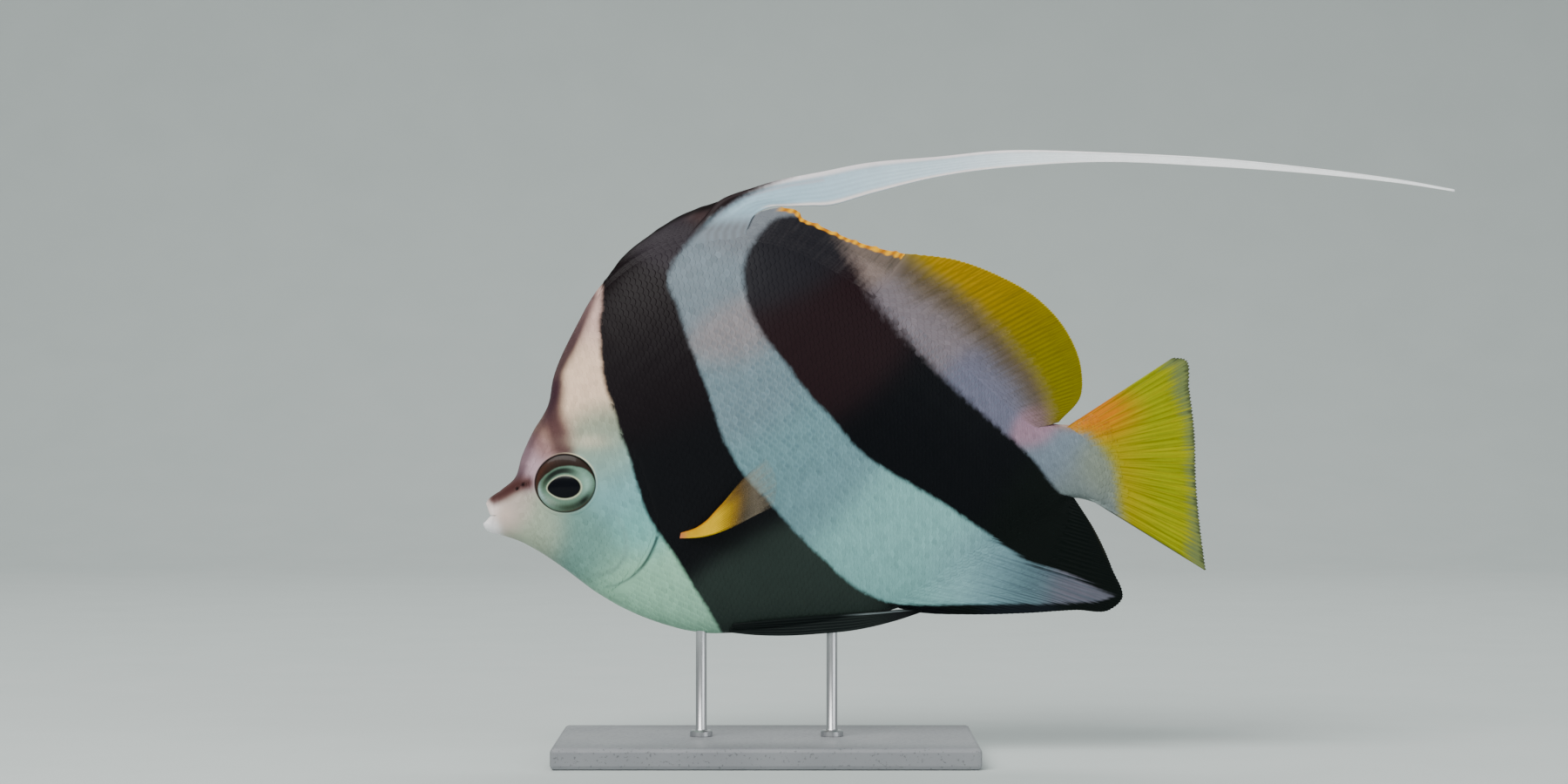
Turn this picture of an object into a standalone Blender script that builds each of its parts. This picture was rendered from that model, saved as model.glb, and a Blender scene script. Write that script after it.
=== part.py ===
"""A schooling bannerfish, life size, still, held over a plain base by two short rods.

The fish faces -X, its left side faces -Y and its back is up. The origin is the middle of the
underside of the base. Sizes are in millimetres and turn to metres when a mesh is made.
"""

import math

import bmesh
import bpy
import numpy as np

MM = 0.001
GAP = 0.3  # clearance between neighbouring pieces

# Sections of the flesh, from the mouth to the tail root. Each runs from a point on the back to one
# on the belly: back x, back z, belly x, belly z, half width, half width at the back edge and at the
# belly edge, and how lean the section is towards the back and the belly (0.5 is an ellipse).
SECTIONS = (
    (-61.4, 61.0, -61.8, 51.6, 3.2, 0.5, 0.5, 0.50, 0.50),
    (-57.8, 64.2, -56.8, 50.0, 4.5, 0.5, 0.5, 0.50, 0.50),
    (-56.2, 69.2, -51.6, 47.2, 5.7, 0.5, 0.6, 0.52, 0.52),
    (-53.6, 74.8, -46.0, 43.4, 6.9, 0.5, 0.6, 0.55, 0.55),
    (-50.2, 80.8, -39.6, 38.6, 8.0, 0.5, 0.6, 0.58, 0.55),
    (-48.6, 88.4, -32.0, 34.2, 9.0, 0.5, 0.6, 0.60, 0.56),
    (-44.2, 98.0, -23.2, 30.8, 10.0, 0.6, 0.6, 0.62, 0.58),
    (-38.2, 107.8, -14.8, 29.0, 10.9, 1.0, 0.6, 0.68, 0.60),
    (-29.0, 115.2, -6.4, 29.0, 11.5, 1.5, 0.6, 0.76, 0.60),
    (-17.0, 119.6, 2.0, 29.6, 11.7, 1.5, 0.6, 0.80, 0.62),
    (-4.0, 120.8, 10.0, 30.4, 11.4, 1.5, 0.6, 0.82, 0.66),
    (8.0, 118.0, 18.0, 31.8, 10.6, 1.5, 0.7, 0.84, 0.70),
    (20.0, 111.6, 25.6, 33.6, 9.6, 1.5, 1.0, 0.84, 0.76),
    (32.0, 103.6, 33.2, 36.4, 8.4, 1.5, 1.5, 0.84, 0.82),
    (43.0, 94.8, 42.8, 42.4, 7.0, 1.5, 1.5, 0.80, 0.80),
    (52.0, 86.8, 52.4, 49.0, 5.6, 1.5, 1.5, 0.74, 0.74),
    (59.0, 80.4, 61.6, 55.4, 4.5, 1.5, 1.5, 0.66, 0.66),
    (65.0, 76.4, 69.2, 60.2, 3.6, 1.2, 1.2, 0.55, 0.55),
    (75.6, 76.2, 80.2, 57.4, 2.6, 0.8, 0.8, 0.50, 0.50),
)
LAST_SECTION = len(SECTIONS) - 1
HEAD_GRID = (23, 22)  # faces along and up
TRUNK_GRID = (33, 24)
PEDUNCLE_GRID = (4, 16)

# The slit behind the gill cover, from the nape to the throat, where head and trunk part.
GILL_SLIT = (
    (-40.6, 104.0), (-33.6, 80.0), (-27.2, 64.0), (-24.6, 54.0),
    (-26.4, 47.4), (-31.0, 41.6), (-35.8, 36.4),
)
# The front of the gill cover, from its upper corner down.
COVER_FRONT = ((-33.4, 66.6), (-37.4, 59.0), (-37.0, 51.0), (-38.6, 45.6))
COVER_REACH = (0.56, 0.93)  # the part of the slit that the cover hangs along
COVER_THICK = 1.1
COVER_PROUD = 0.35  # how far the rear rim of the cover stands off the cheek
COVER_ROWS = 8
COVER_COLUMNS = 6

# The face of the peduncle towards the trunk, and its rounded end at the tail fin.
PEDUNCLE_FRONT = ((65.0, 78.0), (67.0, 68.3), (69.2, 58.4))
TAIL_ROOT = ((69.4, 76.3), (73.6, 73.2), (76.2, 68.2), (77.1, 63.0), (75.9, 58.3))

# Jaws: x, lower z, upper z and half width, from the cheek to the tip.
UPPER_LIP = (
    (-61.7, 55.9, 60.5, 3.1),
    (-62.7, 55.9, 59.9, 2.8),
    (-63.6, 56.0, 59.4, 2.3),
    (-64.3, 56.6, 58.9, 1.5),
    (-64.7, 57.3, 58.5, 0.8),
)
LOWER_LIP = (
    (-62.1, 51.8, 55.5, 3.0),
    (-63.0, 52.0, 55.4, 2.7),
    (-63.9, 52.4, 55.3, 2.2),
    (-64.7, 52.9, 54.9, 1.5),
    (-65.1, 53.4, 54.4, 0.8),
)

LIP_ROWS = 8
LIP_COLUMNS = 6
LIP_EDGE_HALF = 0.25

EYE = (-45.8, 63.2)
EYE_RADII = (7.1, 6.7)
EYE_DEEP = 3.6  # from the rim of the eyeball inwards
EYE_DOME = 1.6  # from the rim outwards
EYE_SUNK = 0.6  # how far the rim lies under the cheek
EYE_STRAIGHT = 0.6  # how much straighter out than the cheek the eye looks
NOSTRILS = ((-57.0, 61.8), (-55.5, 62.7))
NOSTRIL_RADIUS = 0.5
NOSTRIL_DEPTH = 0.9
CUT_PAST = 2.0  # how far a cutter runs past the skin

# Fins: the sections along the body that the root spans, and the edge from the front ray to the last.
DORSAL_FRONT_SPAN = (7.05, 8.93)
DORSAL_FRONT_EDGE = ((-37.2, 109.6), (-31.8, 116.4), (-26.2, 120.5), (-19.2, 125.2), (-13.8, 126.6))
DORSAL_REAR_SPAN = (9.97, 12.47)
DORSAL_REAR_EDGE = (
    (-0.8, 124.0), (7.2, 124.4), (10.8, 123.0), (16.0, 120.6), (21.4, 118.4), (27.0, 117.0), (31.8, 116.0),
)
SOFT_DORSAL_SPAN = (12.51, 16.97)
SOFT_DORSAL_SWEEP = 0.65
SOFT_DORSAL_EDGE = (
    (32.6, 115.8), (43.6, 114.4), (53.4, 110.8), (62.0, 105.8), (68.8, 98.4),
    (72.4, 89.2), (72.2, 83.0), (67.2, 77.1),
)
ANAL_SPAN = (13.02, 16.97)
ANAL_EDGE = (
    (34.8, 33.5), (45.4, 32.9), (59.6, 33.2), (71.2, 33.9), (79.0, 34.0), (81.6, 36.2),
    (79.4, 43.6), (75.6, 52.0), (70.8, 59.6),
)
ANAL_SWEEP = 0.55  # under 1 sweeps the front rays back
TAIL_EDGE = (
    (93.4, 92.0), (96.2, 91.6), (97.2, 85.0), (98.4, 75.0), (98.8, 63.0), (99.8, 52.0), (101.0, 42.8),
)

# The fourth dorsal spine and its membrane, from the root to the tip of the banner:
# upper x, upper z, lower x, lower z, half thickness.
BANNER_SPAN = (8.97, 9.90)
BANNER = (
    (-14.6, 123.8, -2.4, 123.6, 1.3),
    (-10.4, 128.2, 1.4, 125.6, 1.1),
    (-3.2, 130.9, 5.6, 125.9, 0.95),
    (3.4, 132.8, 10.4, 126.1, 0.85),
    (12.4, 134.5, 15.6, 127.0, 0.75),
    (24.0, 136.7, 25.2, 129.8, 0.65),
    (39.2, 138.0, 39.6, 133.4, 0.55),
    (55.8, 139.5, 56.0, 135.6, 0.50),
    (77.6, 139.0, 77.6, 136.8, 0.45),
    (101.6, 137.8, 101.6, 135.8, 0.40),
    (124.0, 135.6, 124.0, 134.2, 0.35),
    (144.0, 133.0, 144.0, 132.1, 0.30),
    (158.0, 130.5, 158.0, 130.0, 0.20),
)
BANNER_ROWS = 28

BANNER_RIDGE = 0.35  # how far the fourth spine stands off its membrane
BANNER_SPINE = (0.0, 0.10, 0.22)  # foot, crest and foot of that spine, in shares of the width

FIN_EDGE_HALF = 0.3
FIN_ROOT_HALF = 1.5
RAY_RIDGE = 0.25  # how far a soft ray stands off the membrane
SPINE_RIDGE = 0.35
RAY_SHARE = 0.48  # the part of the fin's width that ridges take up
DORSAL_SPINES = (3, 8)  # before and behind the banner's spine
SOFT_DORSAL_RAYS = 24
ANAL_RAYS = 21
TAIL_RAYS = 17
PECTORAL_RAYS = 12
PELVIC_RAYS = 6
SOFT_NOTCH = 0.2  # how far the membrane falls back between ray tips
SPINE_NOTCH = (0.9, 1.3)
NOTCH_MOST = 0.3  # deepest notch, in shares of the ray beside it
SPINY_ROWS = 5  # faces from root to edge
SOFT_ROWS = 4
TAIL_ROWS = 5
PELVIC_ROWS = 7

# Paired fins: where the root lies on the side of the fish, and the row of ray tips as x, z and how
# far out from the root they reach.
PECTORAL_ROOT = ((-19.6, 51.0), (-16.4, 53.2))
PECTORAL_TIPS = ((1.6, 58.0, 14.0), (3.6, 61.0, 13.0), (3.4, 64.4, 11.0), (2.0, 67.4, 8.5), (-0.2, 69.4, 6.0))
PECTORAL_STALK = 5.0  # how far the rays run outwards before they sweep back
PECTORAL_LIFT = (1.5, 0.0, 0.8)
PECTORAL_HALF = (0.7, 0.28)  # at the root and at the tips
PELVIC_LOWER = (
    (-8.6, 28.9), (-2.0, 28.3), (4.8, 28.2), (13.0, 28.7), (19.2, 29.3), (29.6, 31.6), (35.6, 33.6),
)
PELVIC_UPPER = (
    (-7.6, 31.0), (0.0, 31.8), (10.0, 32.6), (19.2, 33.2), (26.0, 33.6), (32.0, 34.0), (35.6, 34.0),
)
PELVIC_HALF = (0.40, 0.28)
PELVIC_CLEAR = 0.15
PELVIC_RIDGE = 0.12
PELVIC_CLOSE = 0.7  # how far the two fins draw together towards their tips
PELVIC_SPREAD = 2.2  # least distance of the middle of a pelvic fin from the middle of the fish

BASE_LENGTH = 96.0
BASE_WIDTH = 58.0
BASE_THICK = 5.0
BASE_BEVEL = 1.0
ROD_RADIUS = 1.25
ROD_PLACES = {"stand_rod_front": -15.0, "stand_rod_rear": 15.0}
ROD_CLEAR = 0.2

# The two black bands: the x, z of their front and rear edges, from the back down.
FRONT_BAND = (
    ((-38.2, 109.6), (-38.2, 98.0), (-37.2, 83.8), (-33.0, 75.8), (-27.4, 57.0), (-20.0, 45.4), (-9.0, 29.0)),
    (
        (-3.6, 128.0), (-13.8, 122.0), (-20.6, 114.6), (-22.4, 108.4), (-19.2, 99.6), (-9.8, 73.8),
        (0.0, 59.8), (20.4, 39.4), (31.6, 36.0),
    ),
)
REAR_BAND = (
    (
        (1.6, 124.0), (-3.8, 116.8), (-5.4, 110.0), (-3.2, 100.4), (4.0, 90.8), (15.6, 77.2),
        (40.0, 58.6), (67.6, 42.8), (79.4, 37.0),
    ),
    ((18.0, 117.4), (23.8, 107.2), (31.0, 98.0), (42.6, 85.0), (55.2, 74.2), (69.0, 60.4), (90.0, 59.0)),
)

SKIN_PALE = (0.42, 0.47, 0.44, 1)
SKIN_DARK = (0.02, 0.016, 0.02, 1)
FIN_YELLOW = (0.55, 0.42, 0.01, 1)
FIN_WHITE = (0.62, 0.64, 0.68, 1)
LIP_PINK = (0.62, 0.50, 0.48, 1)
EYE_DARK = (0.05, 0.07, 0.06, 1)
STAND_GREY = (0.30, 0.30, 0.31, 1)
ROD_STEEL = (0.55, 0.55, 0.56, 1)


def clear_scene():
    for old in list(bpy.data.objects):
        bpy.data.objects.remove(old, do_unlink=True)


def collection(name, shown=True):
    made = bpy.data.collections.new(name)
    bpy.context.scene.collection.children.link(made)
    made.hide_render = not shown
    return made


def material(name, colour, roughness, metallic=0.0):
    made = bpy.data.materials.new(name)
    made.use_nodes = True
    shader = made.node_tree.nodes["Principled BSDF"]
    shader.inputs["Base Color"].default_value = colour
    shader.inputs["Roughness"].default_value = roughness
    shader.inputs["Metallic"].default_value = metallic
    return made


def hermite(values, slopes, knots, at):
    """Cubic curve through values at knots with the slopes given, read at the places at."""
    at = np.clip(np.asarray(at, float), knots[0], knots[-1])
    left = np.clip(np.searchsorted(knots, at, side="right") - 1, 0, len(knots) - 2)
    step = (knots[left + 1] - knots[left])[..., None]
    part = (at - knots[left])[..., None] / step
    return (
        values[left] * (1 + 2 * part) * (1 - part) ** 2
        + slopes[left] * step * part * (1 - part) ** 2
        + values[left + 1] * part**2 * (3 - 2 * part)
        + slopes[left + 1] * step * part**2 * (part - 1)
    )


def table_curve(rows):
    """A smooth reading of a table, by its row number."""
    values = np.array(rows, float)
    knots = np.arange(len(values), dtype=float)
    slopes = np.gradient(values, axis=0)
    return lambda at: hermite(values, slopes, knots, at)


def line_curve(points):
    """A smooth line through points, by the share of its length."""
    values = np.array(points, float)
    lengths = np.linalg.norm(np.diff(values, axis=0), axis=1)
    knots = np.concatenate(([0.0], np.cumsum(lengths))) / lengths.sum()
    slopes = np.gradient(values, knots, axis=0)
    return lambda at: hermite(values, slopes, knots, at)


SECTION = table_curve(SECTIONS)


def flesh(along, up):
    """Place and half width of the flesh: along counts sections, up runs from -1, belly, to 1, back."""
    row = SECTION(along)
    share = ((up + 1) / 2)[..., None]
    place = row[..., 2:4] * (1 - share) + row[..., 0:2] * share
    back = up > 0
    edge = np.where(back, row[..., 5], row[..., 6])
    lean = np.where(back, row[..., 7], row[..., 8])
    round_part = np.maximum(1 - up**2, 0.0) ** lean
    return place, edge + (row[..., 4] - edge) * round_part


def locate(place):
    """The sections along and the height up of places on the side of the fish."""
    place = np.asarray(place, float)
    low = np.zeros(place.shape[:-1])
    high = np.full(place.shape[:-1], float(LAST_SECTION))
    for _ in range(40):
        middle = (low + high) / 2
        row = SECTION(middle)
        line = row[..., 0:2] - row[..., 2:4]
        away = place - row[..., 2:4]
        ahead = line[..., 0] * away[..., 1] - line[..., 1] * away[..., 0] > 0
        high = np.where(ahead, middle, high)
        low = np.where(ahead, low, middle)
    row = SECTION(low)
    line = row[..., 0:2] - row[..., 2:4]
    share = ((place - row[..., 2:4]) * line).sum(-1) / (line**2).sum(-1)
    return low, np.clip(2 * share - 1, -1, 1)


def half_width(place):
    return flesh(*locate(place))[1]


def side_normal(place, side):
    """Outward direction of the skin at a place on the left side (-1) or the right one (1)."""
    step = 0.5
    place = np.asarray(place, float)
    across = (half_width(place + (step, 0)) - half_width(place - (step, 0))) / (2 * step)
    upward = (half_width(place + (0, step)) - half_width(place - (0, step))) / (2 * step)
    normal = np.stack([-across, np.full_like(across, side), -upward], -1)
    return normal / np.linalg.norm(normal, axis=-1, keepdims=True)


def turned_left(points):
    """Unit vectors at right angles to a line of points, to its left as it runs."""
    run = np.gradient(points, axis=0)
    run /= np.linalg.norm(run, axis=-1, keepdims=True)
    return np.stack([-run[:, 1], run[:, 0]], -1)


def cut_line(points, shift):
    """Along-places of a cut through the flesh, shifted to its left, as a function of up."""
    line = line_curve(points)(np.linspace(0, 1, 80))
    along, up = locate(line + turned_left(line) * shift)
    order = np.argsort(up)
    return lambda at: np.interp(at, up[order], along[order])


def new_object(name, points, faces, where, look):
    mesh = bpy.data.meshes.new(name)
    mesh.from_pydata([tuple(p) for p in np.asarray(points) * MM], [], faces)
    made = bpy.data.objects.new(name, mesh)
    where.objects.link(made)
    if where.hide_render:
        made.hide_render = True
        made.display_type = "WIRE"
    work = bmesh.new()
    work.from_mesh(mesh)
    bmesh.ops.recalc_face_normals(work, faces=work.faces)
    work.to_mesh(mesh)
    work.free()
    if look:
        mesh.materials.append(look)
    mesh.shade_smooth()
    mesh.set_sharp_from_angle(angle=math.radians(40))
    return made


def plate(name, middle, normal, half, where, look):
    """A closed plate: a grid of points with a face on each side, split alike, and walls round it."""
    rows, columns = half.shape
    offset = normal * half[..., None]
    points = np.concatenate([(middle - offset).reshape(-1, 3), (middle + offset).reshape(-1, 3)])
    far = rows * columns
    index = np.arange(far).reshape(rows, columns)
    faces = []
    for i in range(rows - 1):
        for j in range(columns - 1):
            a, b, c, d = index[i, j], index[i + 1, j], index[i + 1, j + 1], index[i, j + 1]
            one = np.linalg.norm(middle[i, j] - middle[i + 1, j + 1])
            two = np.linalg.norm(middle[i + 1, j] - middle[i, j + 1])
            cell = ((a, b, c), (a, c, d)) if one <= two else ((a, b, d), (b, c, d))
            faces += [tuple(int(k) for k in face) for face in cell]
            faces += [tuple(int(k) + far for k in reversed(face)) for face in cell]
    rim = [*index[0, :], *index[1:, -1], *index[-1, -2::-1], *index[-2:0:-1, 0]]
    for start, end in zip(rim, rim[1:] + rim[:1]):
        start, end = int(start), int(end)
        faces += [(start, end, end + far), (start, end + far, start + far)]
    return new_object(name, points, faces, where, look)


def upright(flat):
    """Points in the middle plane of the fish from x and z."""
    return np.stack([flat[..., 0], np.zeros(flat.shape[:-1]), flat[..., 1]], -1)


ACROSS = np.array([0.0, 1.0, 0.0])


def flesh_block(name, start, end, grid, where, look):
    """A length of the body, between two cuts."""
    columns, rows = grid
    up = np.sin(np.linspace(-1, 1, rows + 1) * math.pi / 2)
    share = np.linspace(0, 1, columns + 1)[:, None]
    along = start(up)[None, :] * (1 - share) + end(up)[None, :] * share
    place, half = flesh(along, np.broadcast_to(up, along.shape))
    return plate(name, upright(place), ACROSS, half, where, look)


def ray_columns(rays):
    """Places across a fin and ridge heights there: each ray has a foot, a crest and a foot."""
    width = RAY_SHARE / 2 / rays
    at = [0.0]
    crest = [0.0]
    for ray in range(rays):
        centre = (ray + 0.5) / rays
        at += [centre - width, centre, centre + width]
        crest += [0.0, 1.0, 0.0]
    return np.array(at + [1.0]), np.array(crest + [0.0])


def fin(name, root, edge, rays, rows, root_half, ridge, notch, where, look, sweep=1.0):
    """An upright fin: a membrane that thins from root to edge, with its rays raised as ridges."""
    at, crest = ray_columns(rays)
    out = np.linspace(0, 1, rows + 1)
    low = root(at)
    high = edge(at**sweep)
    length = np.linalg.norm(high - low, axis=-1)
    inside = (crest == 0) & (at > 0) & (at < 1)
    reach = 1 - np.where(inside, np.minimum(notch / np.maximum(length, 1), NOTCH_MOST), 0.0)
    share = out[None, :] * reach[:, None]
    middle = low[:, None, :] * (1 - share[..., None]) + high[:, None, :] * share[..., None]
    thin = (1 - share) ** 1.6
    swell = np.minimum(share * 8, 1) * (1 - 0.5 * share)
    half = root_half(at)[:, None] * thin + FIN_EDGE_HALF * (1 - thin) + ridge * crest[:, None] * swell
    return plate(name, upright(middle), ACROSS, half, where, look)


def back_root(span):
    """Root line of a fin on the back, clear of the flesh by the gap."""
    def at(share):
        line = SECTION(span[0] + (span[1] - span[0]) * share)[:, 0:2]
        return line + turned_left(line) * GAP
    return at


def belly_root(span):
    def at(share):
        line = SECTION(span[0] + (span[1] - span[0]) * share)[:, 2:4]
        return line - turned_left(line) * GAP
    return at


def back_root_half(span):
    return lambda share: SECTION(span[0] + (span[1] - span[0]) * share)[:, 5]


def belly_root_half(span):
    return lambda share: SECTION(span[0] + (span[1] - span[0]) * share)[:, 6]


def tail_root(share):
    line = line_curve(TAIL_ROOT)(share)
    return line + turned_left(line) * GAP


def tail_root_half(share):
    return half_width(line_curve(TAIL_ROOT)(np.clip(share, 0.03, 0.97)))


def make_fins(where, look):
    before, behind = DORSAL_SPINES
    fin("dorsal_front", back_root(DORSAL_FRONT_SPAN), line_curve(DORSAL_FRONT_EDGE), before, SPINY_ROWS,
        back_root_half(DORSAL_FRONT_SPAN), SPINE_RIDGE, SPINE_NOTCH[0], where, look["dark_fin"])
    fin("dorsal_rear", back_root(DORSAL_REAR_SPAN), line_curve(DORSAL_REAR_EDGE), behind, SPINY_ROWS,
        back_root_half(DORSAL_REAR_SPAN), SPINE_RIDGE, SPINE_NOTCH[1], where, look["dark_fin"])
    fin("soft_dorsal", back_root(SOFT_DORSAL_SPAN), line_curve(SOFT_DORSAL_EDGE), SOFT_DORSAL_RAYS,
        SOFT_ROWS, back_root_half(SOFT_DORSAL_SPAN), RAY_RIDGE, SOFT_NOTCH, where, look["yellow_fin"],
        sweep=SOFT_DORSAL_SWEEP)
    fin("anal_fin", belly_root(ANAL_SPAN), line_curve(ANAL_EDGE), ANAL_RAYS, SOFT_ROWS,
        belly_root_half(ANAL_SPAN), RAY_RIDGE, SOFT_NOTCH, where, look["dark_fin"], sweep=ANAL_SWEEP)
    fin("caudal_fin", tail_root, line_curve(TAIL_EDGE), TAIL_RAYS, TAIL_ROWS,
        tail_root_half, RAY_RIDGE, SOFT_NOTCH, where, look["yellow_fin"])


def make_banner(where, look):
    """The long fourth spine leads the upper edge of a membrane that trails off to a thread."""
    across = np.array([*BANNER_SPINE, 0.6, 1.0])
    crest = across == BANNER_SPINE[1]
    root = back_root(BANNER_SPAN)(across)
    rows = ((*root[0], *root[-1], FIN_ROOT_HALF), *BANNER)
    along = np.linspace(0, 1, BANNER_ROWS + 1) ** 1.25 * (len(rows) - 1)
    row = table_curve(rows)(along)
    share = across[None, :, None]
    place = row[:, None, 0:2] * (1 - share) + row[:, None, 2:4] * share
    place[0] = root
    ridge = BANNER_RIDGE * np.clip(along, 0, 1) * row[:, 4] / FIN_ROOT_HALF
    half = row[:, 4:5] + ridge[:, None] * crest[None, :]
    plate("banner", upright(place), ACROSS, half, where, look["white_fin"])


def make_pectoral(name, side, where, look):
    """A fan on a short stalk that leaves the flank at right angles and sweeps back."""
    at, crest = ray_columns(PECTORAL_RAYS)
    out = np.linspace(0, 1, SOFT_ROWS + 1)[None, :, None]
    ends = np.array(PECTORAL_ROOT)
    flat = ends[0] * (1 - at[:, None]) + ends[1] * at[:, None]
    outward = side_normal(flat, side)
    skin = np.stack([flat[:, 0], side * half_width(flat), flat[:, 1]], -1)
    root = skin + outward * GAP
    tips = line_curve(PECTORAL_TIPS)(at)
    centre_out = half_width(ends.mean(0))
    tip = np.stack([tips[:, 0], side * (centre_out + tips[:, 2]), tips[:, 1]], -1)
    bend = root + outward * PECTORAL_STALK + np.array(PECTORAL_LIFT)
    middle = (
        root[:, None] * (1 - out) ** 2 + bend[:, None] * 2 * out * (1 - out) + tip[:, None] * out**2
    )
    along = np.gradient(middle, axis=1)
    across = np.gradient(middle, at, axis=0)
    normal = np.cross(along, across)
    normal /= np.linalg.norm(normal, axis=-1, keepdims=True)
    far = out[..., 0]
    half = PECTORAL_HALF[0] * (1 - far) + PECTORAL_HALF[1] * far
    half = half + RAY_RIDGE / 2 * crest[:, None] * np.minimum(far * 6, 1)
    plate(name, middle, normal, half, where, look)


def make_pelvic(name, side, where, look):
    """A folded fan that lies back along the belly, one on each side of the keel."""
    at, crest = ray_columns(PELVIC_RAYS)
    along = np.linspace(0, 1, PELVIC_ROWS + 1)
    lower = line_curve(PELVIC_LOWER)(along)
    upper = line_curve(PELVIC_UPPER)(along)
    share = at[:, None, None]
    flat = lower[None] * (1 - share) + upper[None] * share
    spread = PELVIC_SPREAD - PELVIC_CLOSE * along[None, :] ** 3
    out = np.maximum(half_width(flat) + GAP + PELVIC_HALF[0] + PELVIC_CLEAR, spread)
    middle = np.stack([flat[..., 0], side * out, flat[..., 1]], -1)
    thin = PELVIC_HALF[0] * (1 - along) + PELVIC_HALF[1] * along
    half = thin[None, :] + PELVIC_RIDGE * crest[:, None]
    plate(name, middle, ACROSS, half, where, look)


def make_lip(name, sections, where, look):
    """A jaw with a rounded front."""
    along = np.linspace(0, 1, LIP_COLUMNS + 1) * (len(sections) - 1)
    row = table_curve(sections)(along)
    up = np.sin(np.linspace(-1, 1, LIP_ROWS + 1) * math.pi / 2)[None, :]
    height = row[:, 1:2] * (1 - up) / 2 + row[:, 2:3] * (1 + up) / 2
    half = LIP_EDGE_HALF + (row[:, 3:4] - LIP_EDGE_HALF) * np.sqrt(1 - up**2)
    place = np.stack([np.broadcast_to(row[:, 0:1], height.shape), height], -1)
    plate(name, upright(place), ACROSS, half, where, look)


def ball(name, centre, direction, radii, where, look):
    """An eyeball: a round form, deep behind its rim and domed in front of it."""
    work = bmesh.new()
    bmesh.ops.create_uvsphere(work, u_segments=20, v_segments=10, radius=1.0)
    short = np.asarray(direction) / np.linalg.norm(direction)
    up = np.array([0.0, 0.0, 1.0]) - short * short[2]
    up /= np.linalg.norm(up)
    side = np.cross(up, short)
    for vert in work.verts:
        depth = radii[2] if vert.co.z < 0 else radii[3]
        vert.co = centre + side * radii[0] * vert.co.x + up * radii[1] * vert.co.y + short * depth * vert.co.z
    points = [tuple(vert.co) for vert in work.verts]
    faces = [tuple(vert.index for vert in face.verts) for face in work.faces]
    work.free()
    return new_object(name, points, faces, where, look)


def eye_place(side):
    flat = np.array(EYE)
    outward = side_normal(flat, side)
    outward = outward + side * ACROSS * EYE_STRAIGHT
    outward /= np.linalg.norm(outward)
    skin = np.array([flat[0], side * half_width(flat), flat[1]])
    return skin - outward * EYE_SUNK, outward


def lengthened(line, spare):
    """A line of points with its two ends moved outward."""
    first = line[0] - line[1]
    last = line[-1] - line[-2]
    line = line.copy()
    line[0] += first / np.linalg.norm(first) * spare
    line[-1] += last / np.linalg.norm(last) * spare
    return line


def cover_grid(spare, behind):
    """Grid of the gill cover on the side of the head, from its front line to the slit."""
    down = np.linspace(0, 1, COVER_ROWS + 1)
    front = lengthened(line_curve(COVER_FRONT)(down), spare)
    front -= turned_left(front) * spare
    slit = line_curve(GILL_SLIT)(COVER_REACH[0] + (COVER_REACH[1] - COVER_REACH[0]) * down)
    slit = lengthened(slit, spare)
    slit += turned_left(slit) * behind
    back = np.linspace(0, 1, COVER_COLUMNS + 1)[None, :, None]
    return front[:, None] * (1 - back) + slit[:, None] * back


def cover_plate(name, side, flat, depth, height, where, look):
    """A plate that follows the cheek, from depth under the skin to height over it."""
    skin = np.stack([flat[..., 0], side * half_width(flat), flat[..., 1]], -1)
    middle = skin + side * ACROSS * ((height - depth) / 2)[..., None]
    return plate(name, middle, ACROSS, (height + depth) / 2, where, look)


def make_gill_cover(name, side, where, cutters, look):
    """A thin bony cover let into the cheek, whose rear rim stands a little proud of the slit."""
    flat = cover_grid(0.0, -GAP / 2)
    back = np.linspace(0, 1, COVER_COLUMNS + 1)[None, :]
    down = np.linspace(-1, 1, COVER_ROWS + 1)[:, None]
    proud = COVER_PROUD * back**3 * (1 - down**6) + 0.02
    cover_plate(name, side, flat, np.full_like(proud, COVER_THICK), proud, where, look)
    seat = np.full_like(proud, COVER_THICK + GAP * 1.2)
    over = np.full_like(proud, CUT_PAST)
    cover_plate("seat_" + name, side, cover_grid(GAP * 1.1, CUT_PAST), seat, over, cutters, None)


def pit(name, place, side, cutters):
    """A nostril: a short round cutter that points into the snout."""
    flat = np.array(place)
    outward = side_normal(flat, side)
    skin = np.array([flat[0], side * half_width(flat), flat[1]])
    turn = np.linspace(0, 2 * math.pi, 11)[:-1]
    up = np.cross(outward, ACROSS)
    up /= np.linalg.norm(up)
    wide = np.cross(up, outward)
    ring = NOSTRIL_RADIUS * (np.cos(turn)[:, None] * up + np.sin(turn)[:, None] * wide)
    points = np.concatenate([skin - outward * NOSTRIL_DEPTH + ring, skin + outward * CUT_PAST + ring])
    count = len(turn)
    faces = [tuple(range(count)), tuple(range(2 * count - 1, count - 1, -1))]
    faces += [(k, (k + 1) % count, (k + 1) % count + count, k + count) for k in range(count)]
    new_object(name, points, faces, cutters, None)


def edge_x(edge, z):
    """Where an edge of a band crosses the height z."""
    upward = np.array(edge)[::-1]
    return np.interp(z, upward[:, 1], upward[:, 0])


def paint_bands(target, dark):
    """Gives the faces inside the two black bands the dark material."""
    target.data.materials.append(dark)
    for face in target.data.polygons:
        x = face.center.x / MM
        z = face.center.z / MM
        for front, rear in (FRONT_BAND, REAR_BAND):
            if edge_x(front, z) < x < edge_x(rear, z):
                face.material_index = 1


def cut_away(target, cutters):
    """Cuts the collection's pieces from the target and takes them out of the scene."""
    difference = target.modifiers.new("cut", "BOOLEAN")
    difference.operation = "DIFFERENCE"
    difference.operand_type = "COLLECTION"
    difference.collection = cutters
    bpy.context.view_layer.update()
    graph = bpy.context.evaluated_depsgraph_get()
    cut = bpy.data.meshes.new_from_object(target.evaluated_get(graph))
    target.modifiers.clear()
    target.data = cut
    for piece in list(cutters.objects):
        bpy.data.objects.remove(piece, do_unlink=True)


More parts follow.
